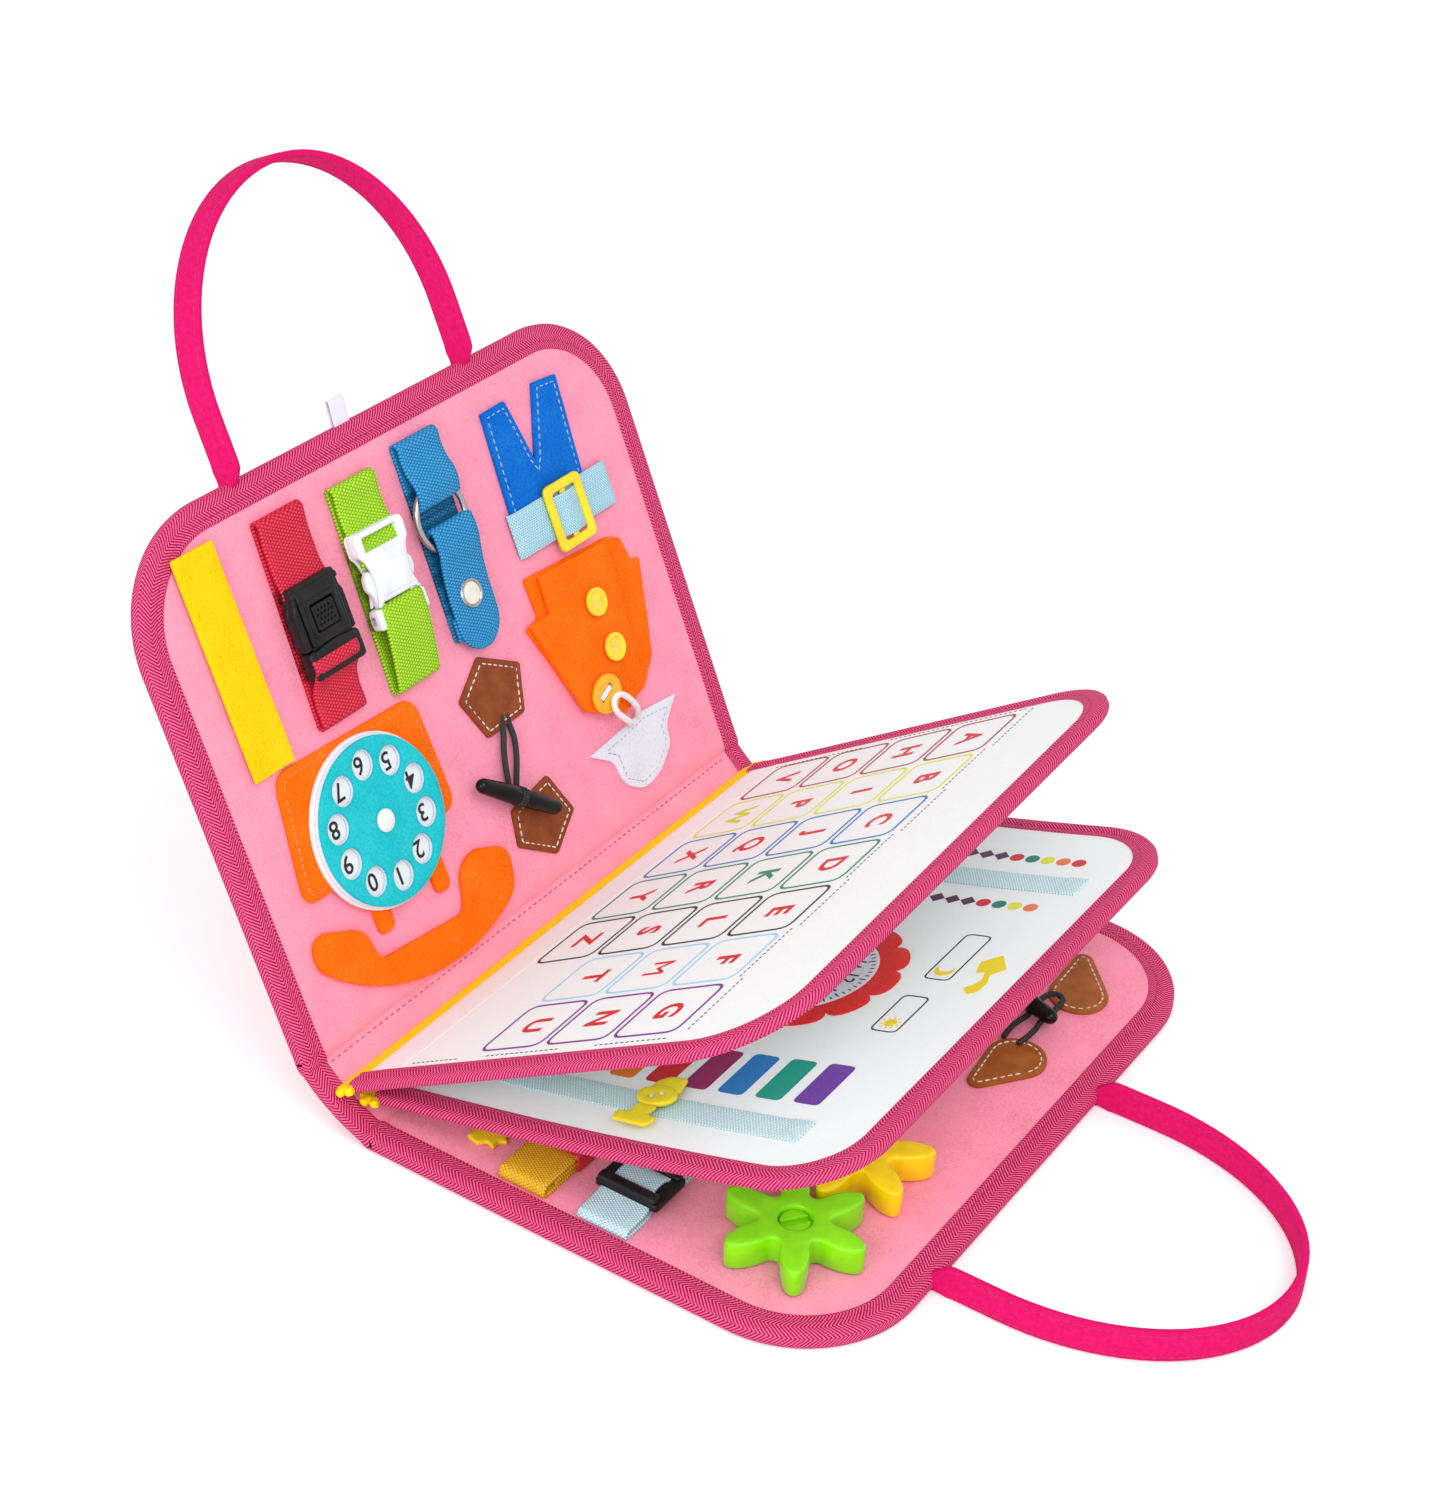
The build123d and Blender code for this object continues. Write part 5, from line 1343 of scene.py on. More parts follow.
def grained_leather(name, colour):
    """Chrome-tanned split leather: a pebbled grain about 1 mm across, waxy in the light, paler
    where it is rubbed."""
    material, tree, shader, flat = sheet_material(name, 0.5, 0.25)
    pebbles = add(tree, "TexVoronoi", {"Vector": flat, "Scale": 0.95, "Randomness": 1.0}, feature="DISTANCE_TO_EDGE")
    cloud = add(tree, "TexNoise", {"Vector": flat, "Scale": 0.16, "Detail": 4.0})
    out = tones(tree, cloud.outputs["Fac"], (0.3, shade(colour, -0.12)), (0.52, colour), (0.75, shade(colour, 0.07)))
    tree.links.new(out, shader.inputs["Base Color"])
    crease = add(tree, "MapRange", {"Value": pebbles.outputs["Distance"], "From Max": 0.25})
    bump = add(tree, "Bump", {"Height": crease.outputs[0], "Strength": 0.35, "Distance": 0.0003})
    tree.links.new(bump.outputs[0], shader.inputs["Normal"])
    rough = add(tree, "MapRange", {"Value": crease.outputs[0], "To Min": 0.7, "To Max": 0.42})
    tree.links.new(rough.outputs[0], shader.inputs["Roughness"])
    return material


def toggle_mesh(length, radius):
    """A spindle with a thick waist, drawn in towards blunt domed ends."""
    half = length / 2
    profile = []
    for k in range(-20, 21):
        share = k / 20
        run = half * sin(share * pi / 2)
        body = radius * (1 - 0.26 * (abs(run) / half) ** 1.8)
        dome = sqrt(max(0.0, 1 - max(0.0, (abs(run) - half * 0.86) / (half * 0.14)) ** 2))
        waist = 0.35 * exp(-(run / 3.2) ** 2)
        profile.append((max(0.02, (body - waist) * dome), run))
    return turned_mesh(profile, 24, axis="x")


brown_leather = grained_leather("brown split leather", "#883f14")
white_thread = thread("white waxed thread", "#f2ece2")
black_resin = moulded("black glossy resin", "#070606", roughness=0.1, grain=0.03, specular=0.2)
black_braid = herringbone("black braided cord", "#0a090a", rib=1.0, column=1.1, depth=0.7)
parts, sewn = [], []
for k, outline in enumerate((PENTAGON_UP, PENTAGON_LOW)):
    points, faces = plate_mesh([rounded(outline, 1.6)], PATCH + 0.4, edge=0.4, top=ripple(11, 0.35, k * 5.0))
    parts.append((points, faces, points))
    sewn.append(stitch_mesh(at_height(inset(outline, 2.6), PATCH + 0.35), pitch=3.3, length=2.4, width=0.75, rise=0.35))
points, faces, cloth = joined(*parts)
fix(make_piece("back_leather", points, faces, BACK_FACE, brown_leather, cloth), "back_cover", "brown_leather", "back_toggle_patches")
points, faces, cloth = joined(*sewn)
fix(make_piece("back_leather_stitch", points, faces, BACK_FACE, white_thread, cloth), "back_cover", "white_cord")
points, faces = toggle_mesh(TOGGLE_LENGTH, TOGGLE_RADIUS + 0.5)
toggle_place = BACK_FACE @ Matrix.Translation((-1.5, 46.0, TOGGLE_HEIGHT + 0.3)) @ Matrix.Rotation(radians(-37.5), 4, "Z")
fix(make_piece("back_toggle_peg", points, faces, toggle_place, black_resin, points), "back_toggle", "black_plastic", "back_toggle")
# the cord's route: out of the upper patch, apart, together at the peg's waist and back
half_loop = [(1.0, -1.6, -1.9), (5.0, -1.9, -0.9), (9.5, -2.8, 0.3), (14.0, -3.6, 0.4), (21.0, -3.7, 0.3), (28.0, -2.6, 0.1),
             (33.0, -2.2, 0.0), (37.4, -1.6, 0.0)]
route = half_loop + [(x, -y, z) for x, y, z in reversed(half_loop)]
route = [(x, y, z + CORD_HEIGHT) for x, y, z in route]
cord_place = BACK_FACE @ Matrix.Translation((12.5, 79, 0)) @ Matrix.Rotation(radians(-110), 4, "Z")
back_cord, line = corded("back_toggle_braid", route, BACK_CORD_RADIUS, cord_place, black_braid)
fix(back_cord, "back_cover", "black_cord", "back_toggle_cord")
length = sum((q - p).length for p, q in zip(line, line[1:]))


def waist_knot(name, peg_place, body):
    """Two turns of the braid drawn tight round a peg's waist."""
    turns = []
    for x in (-0.9, 0.9):
        circle = [(Vector((x, 0, 0)) + Vector((0, cos(a), sin(a))) * (TOGGLE_RADIUS + 0.1), Vector((0, cos(a), sin(a))), Vector((1, 0, 0)))
                  for a in (2 * pi * k / 28 for k in range(28))]
        turns.append(sweep_mesh(circle, ring_points(0.8, count=10), closed=True))
    points, faces, cloth = joined(*turns)
    return fix(make_piece(name, points, faces, peg_place, black_braid, cloth), body, "black_cord")


waist_knot("back_toggle_knot", toggle_place, "back_toggle")

# ---------------------------------------------------------------- telephone
# An orange felt body with a tan running stitch; a white card printed with the numerals
# 0 to 9; and a turquoise felt dial that turns on a white pin, with a white felt backing.
DIAL_CENTRE = (-75.3, 71.8)
DIAL_RADIUS, DIAL_THICKNESS, CARD_THICKNESS = 34.8, 3.0, 2.2
FINGER_RING, FINGER_HOLE, HOLE_PHASE = 24.2, 6.0, -126.0
PHONE_BODY = [(-114.5, 110.2), (-33.5, 107), (-31, 56.7), (-123, 57.5)]
PHONE_SKIRT = [(-106, 60), (-43, 60), (-49, 41), (-95, 41)]
tan_thread = thread("tan thread", "#cf9060")
parts = []
for outline, r in ((rounded(PHONE_BODY, 8), FELT), (rounded(PHONE_SKIRT, 4), FELT - 0.05), (box_outline(9, 16, -88, 37, 4), FELT - 0.1),
                   (box_outline(9, 16, -53, 37, 4), FELT - 0.1)):
    points, faces = plate_mesh([outline], r, edge=0.5, top=ripple(15, 0.25, 6.0))
    parts.append((points, faces, points))
points, faces, cloth = joined(*parts)
fix(make_piece("phone_felt", points, faces, BACK_FACE, orange_felt, cloth), "back_cover", "orange_felt", "phone_base")
fix(stitches("phone_stitch", [at_height(inset(rounded(PHONE_BODY, 8), 3.0), FELT + 0.05)], BACK_FACE, tan_thread, pitch=3.2,
             width=0.45), "back_cover", "white_cord")
card_z = FELT + 0.1
white_card = plain_weave("white card", "#f1f0f3", pitch=0.6, roughness=0.55, contrast=0.02, specular=0.35)
card = plate("number_card", [ring_points(DIAL_RADIUS + 0.6, *DIAL_CENTRE, 72)], CARD_THICKNESS, BACK_FACE, white_card, base=card_z,
             edge=0.4)
fix(card, "back_cover", "white_felt", "dial_card")


def numeral_mesh(text, size, x, y, z, turn, depth=0.12, weight=0.0):
    """A printed figure or letter as a thin raised film, centred on (x, y)."""
    curve = bpy.data.curves.new(text, "FONT")
    curve.body = text
    curve.size = size
    curve.align_x, curve.align_y = "CENTER", "CENTER"
    curve.extrude = depth / 2
    curve.offset = weight
    curve.resolution_u = 3
    holder = bpy.data.objects.new(text, curve)
    mesh = bpy.data.meshes.new_from_object(holder)
    spin = Matrix.Translation((x, y, z)) @ Matrix.Rotation(radians(turn), 4, "Z")
    points = [tuple(spin @ v.co) for v in mesh.vertices]
    faces = [tuple(f.vertices) for f in mesh.polygons]
    bpy.data.objects.remove(holder)
    return points, faces, points


def printed(name, colour, roughness=0.5):
    """Screen-printed ink: flat and even, with the cloth's grain just showing through it."""
    material, tree, shader, flat = sheet_material(name, roughness, 0.3)
    grain = add(tree, "TexNoise", {"Vector": flat, "Scale": 1.4, "Detail": 2.0})
    out = tones(tree, grain.outputs["Fac"], (0.3, shade(colour, -0.08)), (0.7, shade(colour, 0.06)))
    tree.links.new(out, shader.inputs["Base Color"])
    return material


black_ink = printed("black screen ink", "#1f1e24")
parts = []
for digit in range(10):
    a = radians(HOLE_PHASE + 36 * digit)
    x, y = DIAL_CENTRE[0] + FINGER_RING * cos(a), DIAL_CENTRE[1] + FINGER_RING * sin(a)
    parts.append(numeral_mesh(str(digit), 10.5, x, y, card_z + CARD_THICKNESS + 0.04, 180, weight=0.12))
points, faces, cloth = joined(*parts)
fix(make_piece("card_numerals", points, faces, BACK_FACE, black_ink, cloth), "back_cover", "white_felt")
dial_z = card_z + CARD_THICKNESS + 0.3
turquoise_felt = needled_felt("turquoise needled felt", "#1fbcc6")
dial_place = BACK_FACE @ Matrix.Translation((*DIAL_CENTRE, dial_z)) @ Matrix.Rotation(radians(HOLE_PHASE), 4, "Z")
spokes = [(FINGER_RING * cos(2 * pi * k / 10), FINGER_RING * sin(2 * pi * k / 10)) for k in range(10)]
holes = [ring_points(FINGER_HOLE, x, y, 28) for x, y in spokes]
backing = plate("dial_backing", [ring_points(DIAL_RADIUS, count=90), *holes], 1.1, dial_place, white_felt, edge=0.3, step=4)
fix(backing, "phone_dial", "white_felt", "phone_dial")
wide_holes = [ring_points(FINGER_HOLE + 0.2, x, y, 28) for x, y in spokes]
face = plate("dial_felt", [ring_points(DIAL_RADIUS - 0.9, count=90), *wide_holes], DIAL_THICKNESS - 1.0, dial_place, turquoise_felt,
             base=1.0, edge=0.55, step=3.0, top=ripple(9, 0.2, 3.0))
fix(face, "phone_dial", "turquoise_felt")
points, faces = turned_mesh([(2.0, -0.3), (2.0, 3.2), (4.3, 3.25), (4.7, 3.5), (4.6, 3.95), (4.0, 4.4), (2.4, 4.75), (0.01, 4.85)])
pin_place = BACK_FACE @ Matrix.Translation((*DIAL_CENTRE, dial_z))
fix(make_piece("dial_rivet", points, faces, pin_place, white_acetal, points), frame["nodes"]["dial_pin"]["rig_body"], "white_plastic",
    "dial_pin")
HANDSET_RIM = [(-128.5, 33), (-127.6, 42.9), (-121.3, 46), (-100.4, 37), (-97.9, 21.8), (-47, 16.2), (-42.3, 32.6), (-31.9, 37.3),
               (-12.6, 29.4), (-16.1, 11.1)]
x1, y1, x2, y2, x3, y3 = *HANDSET_RIM[-1], -68, 2.0, *HANDSET_RIM[0]
d = 2 * (x1 * (y2 - y3) + x2 * (y3 - y1) + x3 * (y1 - y2))
cx = ((x1 ** 2 + y1 ** 2) * (y2 - y3) + (x2 ** 2 + y2 ** 2) * (y3 - y1) + (x3 ** 2 + y3 ** 2) * (y1 - y2)) / d
cy = ((x1 ** 2 + y1 ** 2) * (x3 - x2) + (x2 ** 2 + y2 ** 2) * (x1 - x3) + (x3 ** 2 + y3 ** 2) * (x2 - x1)) / d
bow_radius = hypot(x1 - cx, y1 - cy)
bow = arc(cx, cy, bow_radius, degrees(atan2(y1 - cy, x1 - cx)), degrees(atan2(y3 - cy, x3 - cx)), 30)
ends = bow[3:-3]
grip = rounded(HANDSET_RIM + ends, [6, 7, 8, 6, 5, 5, 6, 8, 7, 6] + [0] * len(ends), 6)
fix(plate("handset_felt", [grip], 3.0, BACK_FACE, orange_felt, base=0.2, edge=0.8, top=ripple(16, 0.3, 8.0)), "handset", "orange_felt",
    "handset")

# ---------------------------------------------------------------- hanging tab
# A loop of white satin ribbon sewn into the back cover's top edge.
TAB_X, TAB_LENGTH, TAB_WIDTH = -15.5, 11.0, 9.0
satin = herringbone("white satin ribbon", "#e4e1f0", rib=0.7, column=30.0, depth=0.1, contrast=0.15)
satin.node_tree.nodes["Principled BSDF"].inputs["Roughness"].default_value = 0.32
path = [(COVER_LENGTH - 5, 0.75), (COVER_LENGTH + 4, 0.85), (COVER_LENGTH + 9.6, 1.1), (COVER_LENGTH + 10.8, 0),
        (COVER_LENGTH + 9.6, -1.1), (COVER_LENGTH + 4, -0.85), (COVER_LENGTH - 5, -0.75)]
points, faces, cloth = band_mesh(bent(path, 1.2), TAB_WIDTH, 0.5, "y", (TAB_X, COVER_LENGTH), 0.12)
fix(make_piece("satin_tab", points, faces, BACK, satin, cloth), "back_cover", "white_satin", "hanging_tab")

# ---------------------------------------------------------------- meshing gears
# Two six-petalled gears moulded in glossy ABS, one green and one yellow. Each turns on a
# broad slotted screw of its own colour, sunk into its hub.
GEARS = {"green": ((-102.6, -165.9), "#86e600", 32.17), "yellow": ((-55.0, -164.1), "#ffdc00", 2.17)}
GEAR_HEIGHT, GEAR_LIFT, COUNTERBORE, HEAD_RECESS = 12.4, 0.4, 6.5, 4.0
PETAL = [(13.4, 30.0), (14.6, 21.4), (17.0, 18.4), (20.0, 15.4), (23.5, 11.6), (26.4, 8.0), (28.4, 4.4), (29.3, 0.0)]


def petalled(count, half_petal):
    """A closed outline from one half petal, as (radius, angle off the petal's middle)."""
    out = []
    for k in range(count):
        middle = 360 / count * k
        for sign, run in ((-1, half_petal), (1, half_petal[-2:0:-1])):
            out += [(r * cos(radians(middle + sign * a)), r * sin(radians(middle + sign * a))) for r, a in run]
    return out


for name, (centre, colour, phase) in GEARS.items():
    glossy = moulded(name + " glossy ABS", colour, roughness=0.14, grain=0.04, specular=0.28)
    glossy.node_tree.nodes["Principled BSDF"].inputs["Coat Weight"].default_value = 0.25
    line = [tuple(p) for p in petalled(6, PETAL)]
    smooth = []
    for i in range(len(line)):
        a, b, c, d = (Vector(line[(i + k) % len(line)]) for k in (-1, 0, 1, 2))
        smooth += [tuple(0.5 * (2 * b + (c - a) * t + (2 * a - 5 * b + 4 * c - d) * t * t + (3 * b - a - 3 * c + d) * t ** 3))
                   for t in (0, 0.34, 0.67)]
    centre_place = FRONT_FACE @ Matrix.Translation((*centre, GEAR_LIFT))
    gear_place = centre_place @ Matrix.Rotation(radians(phase), 4, "Z")
    crown = [([smooth, ring_points(COUNTERBORE, count=40)], GEAR_HEIGHT, 0.0, 1.3),
             ([ring_points(COUNTERBORE + 0.8, count=40), ring_points(4.3, count=24)], GEAR_HEIGHT - HEAD_RECESS - 0.3, 0.2, 0.3)]
    plates(name + "_gear_petals", crown, gear_place, glossy, name + "_gear", name + "_plastic", name + "_gear")
    half = [(5.95 * cos(radians(a)), 5.95 * sin(radians(a))) for a in range(14, 167, 8)]
    head = [([ring_points(5.9, count=40)], 1.0, 0.0, 0.2), ([rounded(half, 0.5)], 1.7, 0.9, 0.4),
            ([rounded([(-x, -y) for x, y in half], 0.5)], 1.7, 0.9, 0.4)]
    head_place = centre_place @ Matrix.Translation((0, 0, GEAR_HEIGHT - HEAD_RECESS - 0.3)) @ Matrix.Rotation(radians(-38), 4, "Z")
    plates(name + "_gear_screw", head, head_place, glossy, "front_cover", name + "_plastic", "gear_screws")

# ---------------------------------------------------------------- straps on the front cover
# A yellow and a light blue webbing strap, each folded over itself and sewn down. The blue
# one runs through a black ladder-lock buckle and the yellow one under a red keeper.
amber_webbing = belt_webbing("yellow polypropylene webbing", "#f0b40a", pitch=1.3, column=1.05)
# a paler copy of the sky blue belt webbing: its colour is lifted as painted light against the shade the front strap
# lies in
blue_webbing_paled_against_shade = belt_webbing("pale blue polypropylene webbing", "#c8eefb", pitch=1.25, column=0.95)
LADDER = {"x": -114.0, "y": -104.9, "lift": 4.5, "width": 28.5, "length": 20.5, "bar": 4.75}
PLY = 1.5
folds = {
    "yellow_strap": (amber_webbing, "yellow_webbing", -67.7, 21.5, 0.0, [
        (-78.0, 0.8), (-137.6, 0.8), (-138.7, 3.2), (-137.4, 5.7), (-80, 5.7), (-77.0, 4.4), (-79.0, 3.2), (-131, 3.2)]),
    "light_blue_strap": (blue_webbing_paled_against_shade, "light_blue_webbing", LADDER["y"], 22.5, 2.3, [
        (-73.5, 0.75), (-137.6, 0.75), (-138.8, 2.3), (-137.4, 3.9), (-129, 4.1), (-124.4, 5.0), (-119.5, 7.6), (-116.6, 8.6),
        (-111.4, 8.6), (-108.4, 7.4), (-104, 4.8), (-98, 3.6), (-76, 3.4), (-72.9, 2.3)]),
}
for name, (weave, slot, y, width, gather, path) in folds.items():
    def drawn_in(run):
        """Half the strap's width, gathered where it passes through the buckle."""
        return width / 2 - gather * exp(-((run - LADDER["x"]) / 7.5) ** 4)

    points, faces, cloth = band_mesh(bent(path, 1.6), width, PLY, "x", (0, y), 0.0, drawn_in)
    fix(make_piece(name + "_webbing", points, faces, FRONT_FACE, weave, cloth, crease=50), "front_cover", slot, name)
ladder_place = FRONT_FACE @ Matrix.Translation((LADDER["x"], LADDER["y"], LADDER["lift"]))
window = (LADDER["length"] - 3 * LADDER["bar"]) / 2
windows = [box_outline(window, LADDER["width"] - 2 * LADDER["bar"], sign * (window + LADDER["bar"]) / 2, 0, 0.7) for sign in (-1, 1)]
lip_x = -LADDER["length"] / 2 + LADDER["bar"] / 2
plates("ladder_lock", [
    ([box_outline(LADDER["length"], LADDER["width"], 0, 0, 2.2), *windows], 3.3, 0.0, 0.9),
    ([box_outline(LADDER["bar"] + 0.4, LADDER["width"] - 2.0, lip_x - 0.1, 0, 1.8)], 3.6, 2.6, 1.7),
    ([box_outline(3.4, LADDER["width"] - 3.0, -lip_x + 0.6, 0, 1.5)], 1.6, 2.8, 0.8),
], ladder_place, black_acetal, "ladder_buckle", "black_plastic", "ladder_buckle")
red_acetal = moulded("red moulded acetal", "#d3202c", roughness=0.35)
keeper = [(-11.6, 0.9), (-11.6, 6.9), (-10.6, 8.1), (10.6, 8.1), (11.6, 6.9), (11.6, 0.9)]
stations = [(Vector((-112.5, -67.7 + y, z)), Vector((1, 0, 0)), Vector((0, n.x, n.y)))
            for (y, z), n in ((p, (Vector(p) - Vector((0, 4))).normalized()) for p in spaced(bent(keeper, 1.6), 1.5, closed=False))]
points, faces, cloth = sweep_mesh(stations, [(-6, -0.5), (6, -0.5), (6.5, 0), (6, 0.6), (-6, 0.6), (-6.5, 0)])
fix(make_piece("red_keeper", points, faces, FRONT_FACE, red_acetal, cloth), "front_cover", "yellow_plastic")
tab = [(-127.5, -33), (-118, -34.5), (-113.5, -43), (-115.5, -48.5), (-119.2, -45.6), (-121.8, -48.6), (-123.6, -45.2), (-127.6, -46),
       (-126, -41.6), (-129.2, -39.6)]
plates("yellow_end_tab", [([rounded(tab, 1.3)], 2.2, 0.0, 0.8)], FRONT_FACE, yellow_acetal, "front_cover", "yellow_plastic")

# ---------------------------------------------------------------- front toggle
# The same black peg and braided cord, here between two leather leaves, each round at the
# end by the peg and pointed at the other.
tan_leather = grained_leather("tan split leather", "#a0581a")
parts, sewn = [], []
for (x, y), turn, length in (((41.0, -180.5), 165.0, 39.0), ((93.4, -181.3), 22.5, 41.0)):
    tip = length - 12.5 - 4.2
    leaf = arc(0, 0, 12.5, 68, 292, 22) + arc(tip, 0, 4.2, -68, 68, 6)
    spin = Matrix.Rotation(radians(turn), 2)
    leaf = [tuple(spin @ Vector(p) + Vector((x, y))) for p in leaf]
    points, faces = plate_mesh([leaf], PATCH + 0.5, edge=0.5, top=ripple(12, 0.4, x))
    parts.append((points, faces, points))
    sewn.append(stitch_mesh(at_height(inset(spaced(leaf, 2.0), 2.4), PATCH + 0.45), pitch=3.3, length=2.4, width=0.75, rise=0.35))
points, faces, cloth = joined(*parts)
fix(make_piece("front_leather", points, faces, FRONT_FACE, tan_leather, cloth), "front_cover", "brown_leather", "front_toggle_patches")
points, faces, cloth = joined(*sewn)
fix(make_piece("front_leather_stitch", points, faces, FRONT_FACE, white_thread, cloth), "front_cover", "white_cord")
points, faces = toggle_mesh(TOGGLE_LENGTH, TOGGLE_RADIUS + 0.5)
toggle_place = FRONT_FACE @ Matrix.Translation((72.0, -160.8, TOGGLE_HEIGHT + 0.3)) @ Matrix.Rotation(radians(73), 4, "Z")
fix(make_piece("front_toggle_peg", points, faces, toggle_place, black_resin, points), "front_toggle", "black_plastic", "front_toggle")
waist_knot("front_toggle_knot", toggle_place, "front_toggle")
route = [(0.0, -3.4, 0.3), (5.0, -4.2, 0.4), (12.0, -4.4, 0.2), (19.0, -3.0, 0.0), (26.0, -3.4, 0.1), (33.0, -4.4, 0.2),
         (38.6, -2.6, 0.1), (38.6, 2.6, 0.1), (33.0, 4.4, 0.2), (26.0, 3.4, 0.1), (19.0, 3.0, 0.0), (12.0, 4.4, 0.2),
         (5.0, 4.2, 0.4), (0.0, 3.4, 0.3)]
route = [(x, y, z + CORD_HEIGHT) for x, y, z in route]
cord_place = FRONT_FACE @ Matrix.Translation((48, -174, 0)) @ Matrix.Rotation(radians(-2), 4, "Z")
front_cord, line = corded("front_toggle_braid", route, CORD_RADIUS + 0.2, cord_place, black_braid)
fix(front_cord, "front_cover", "black_cord", "front_toggle_cord")
length = sum((q - p).length for p, q in zip(line, line[1:]))

# ---------------------------------------------------------------- print on page 1
# Screen-printed letters A to Z in outlined boxes, in four columns and seven rows, with a
# dashed line round them. The inks lie flat on the cloth and follow its curl.
LETTER_COLUMNS = [(150.5, "ABCDEFG"), (116.0, "HIJKLMN"), (81.5, "OPQRSTU"), (47.0, "VWXYZ")]
ROW_START, ROW_PITCH = 112.0, 37.0
BOX_INKS = ["#a81f33", "#e0e62c", "#2b76bd", "#12896b", "#262430", "#a5dcf2", "#7c2f91"]
LETTER_RED = "#d7262c"


def film_mesh(loops, base, depth=0.1, step=9.0):
    """A flat printed film, its first loop the outline and the rest holes."""
    rings = [spaced(loop, step) for loop in loops]
    flat = [p for ring in rings for p in ring]
    count = len(flat)
    points = [(x, y, z) for z in (base, base + depth) for x, y in flat]
    top = tessellate_polygon([[Vector((x, y, 0)) for x, y in ring] for ring in rings])
    faces = [tuple(i + count for i in t) for t in top] + [tuple(t[::-1]) for t in top]
    at = 0
    for ring in rings:
        faces += [(at + k, at + (k + 1) % len(ring), at + (k + 1) % len(ring) + count, at + k + count) for k in range(len(ring))]
        at += len(ring)
    return points, faces, points


def print_on(page, name, ink, parts, slot="printed_cloth", *nodes):
    points, faces, cloth = joined(*parts)
    return fix(make_piece(name, twisted(page, points), faces, PAGE_SIZES[page][2], ink, cloth), page, slot, *nodes)


INK_Z = PAGE_HALF + 0.02
boxes, letters, odd = {}, [], {"W": "#d8de2c", "K": "#12896b"}
for out, column in LETTER_COLUMNS:
    for k, letter in enumerate(column):
        x = ROW_START - ROW_PITCH * k
        frame_loops = [box_outline(34.4, 32.4, x, -out, 5.5), box_outline(32.1, 30.1, x, -out, 4.6)]
        boxes.setdefault(BOX_INKS[k], []).append(film_mesh(frame_loops, INK_Z))
        glyph = numeral_mesh(letter, 15.5, x, -out, INK_Z + 0.06, 180, weight=0.0 if letter == "M" else 0.4)
        if letter in odd:
            print_on("page_1", "letter_" + letter, printed("ink of letter " + letter, odd[letter]), [glyph])
        else:
            letters.append(glyph)
for k, (colour, parts) in enumerate(boxes.items()):
    print_on("page_1", f"letter_boxes_{k + 1}", printed(f"box ink {k + 1}", colour), parts)
print_on("page_1", "letters", printed("red screen ink", LETTER_RED), letters)
EDGE_IN, EDGE_OUT, EDGE_NEAR, EDGE_FAR = 26.0, 172.0, -131.0, 132.0
dashed = []
for a, b in [((EDGE_FAR, -EDGE_OUT + 3), (EDGE_FAR, -92)), ((EDGE_FAR - 2, -80), (EDGE_FAR - 2, -EDGE_IN)),
             ((EDGE_NEAR, -EDGE_OUT + 6), (EDGE_NEAR, -128)), ((EDGE_NEAR, -112), (EDGE_NEAR, -72)), ((EDGE_NEAR, -58), (EDGE_NEAR, -30))]:
    dashed.append([(*a, INK_Z), (*b, INK_Z)])
for k in range(7):
    x, y = EDGE_FAR - ROW_PITCH * k, -EDGE_OUT + (k % 2) * 2.6
    dashed.append([(x, y, INK_Z), (max(x - 36.5, EDGE_NEAR), y, INK_Z)])
print_on("page_1", "dashed_border", black_ink,
         [stitch_mesh(line, pitch=2.6, length=1.7, width=0.85, rise=0.1, sink=0.0) for line in dashed])

# ---------------------------------------------------------------- print on page 2
# A red flower with a clock dial, coloured tabs, rows of dots and diamonds, a sun and a moon
# in frames, and a curved arrow, all screen-printed. The clock's hands turn on a pin.
CLOCK, CLOCK_RADIUS, DIAL_FACE = (-3.6, -121.0), 42.0, 29.8
red_ink, sun_ink = printed("red flower ink", "#e3211f"), printed("yellow sun ink", "#f6d913")
SCALLOP = [(36.2, 15.0), (38.4, 14.0), (40.4, 11.5), (41.5, 8.0), (41.9, 4.0), (42.0, 0.0)]
flower = [(x + CLOCK[0], y + CLOCK[1]) for x, y in petalled(12, SCALLOP)]
points, faces = plate_mesh([flower], 0.5, edge=0.12, step=5.0, base=PAGE_HALF + 0.02)
print_on("page_2", "flower_print", red_ink, [(points, faces, points)], "printed_cloth", "clock_face")
points, faces = plate_mesh([ring_points(DIAL_FACE, *CLOCK, 72)], 0.12, edge=0.04, step=5.0, base=PAGE_HALF + 0.5)
print_on("page_2", "clock_dial", printed("pale grey dial ink", "#dfe0ea"), [(points, faces, points)])
parts, dial_z = [], PAGE_HALF + 0.63
for minute in range(60):
    a = radians(6 * minute)
    long = 3.2 if minute % 5 == 0 else 1.8
    tick = [(28.4, -0.32), (28.4, 0.32), (28.4 - long, 0.32), (28.4 - long, -0.32)]
    parts.append(film_mesh([[(CLOCK[0] + r * cos(a) - w * sin(a), CLOCK[1] + r * sin(a) + w * cos(a)) for r, w in tick]], dial_z, 0.08))
for hour in range(1, 13):
    a = radians(30 * hour)
    parts.append(numeral_mesh(str(hour), 8.0, CLOCK[0] - 20.8 * sin(a), CLOCK[1] - 20.8 * cos(a), dial_z + 0.05, 180, 0.08, 0.1))
print_on("page_2", "clock_marks", black_ink, parts)
TAB_X2, TAB_SIZE = -75.0, (27.5, 11.5)
TAB_INKS = [(175.6, "#6b3aa2"), (159.0, "#0a9a84"), (142.5, "#2276c4"), (126.5, "#96215f"), (110.0, "#d4222a"), (93.5, "#ef7d1a"),
            (77.0, "#c3d91c")]
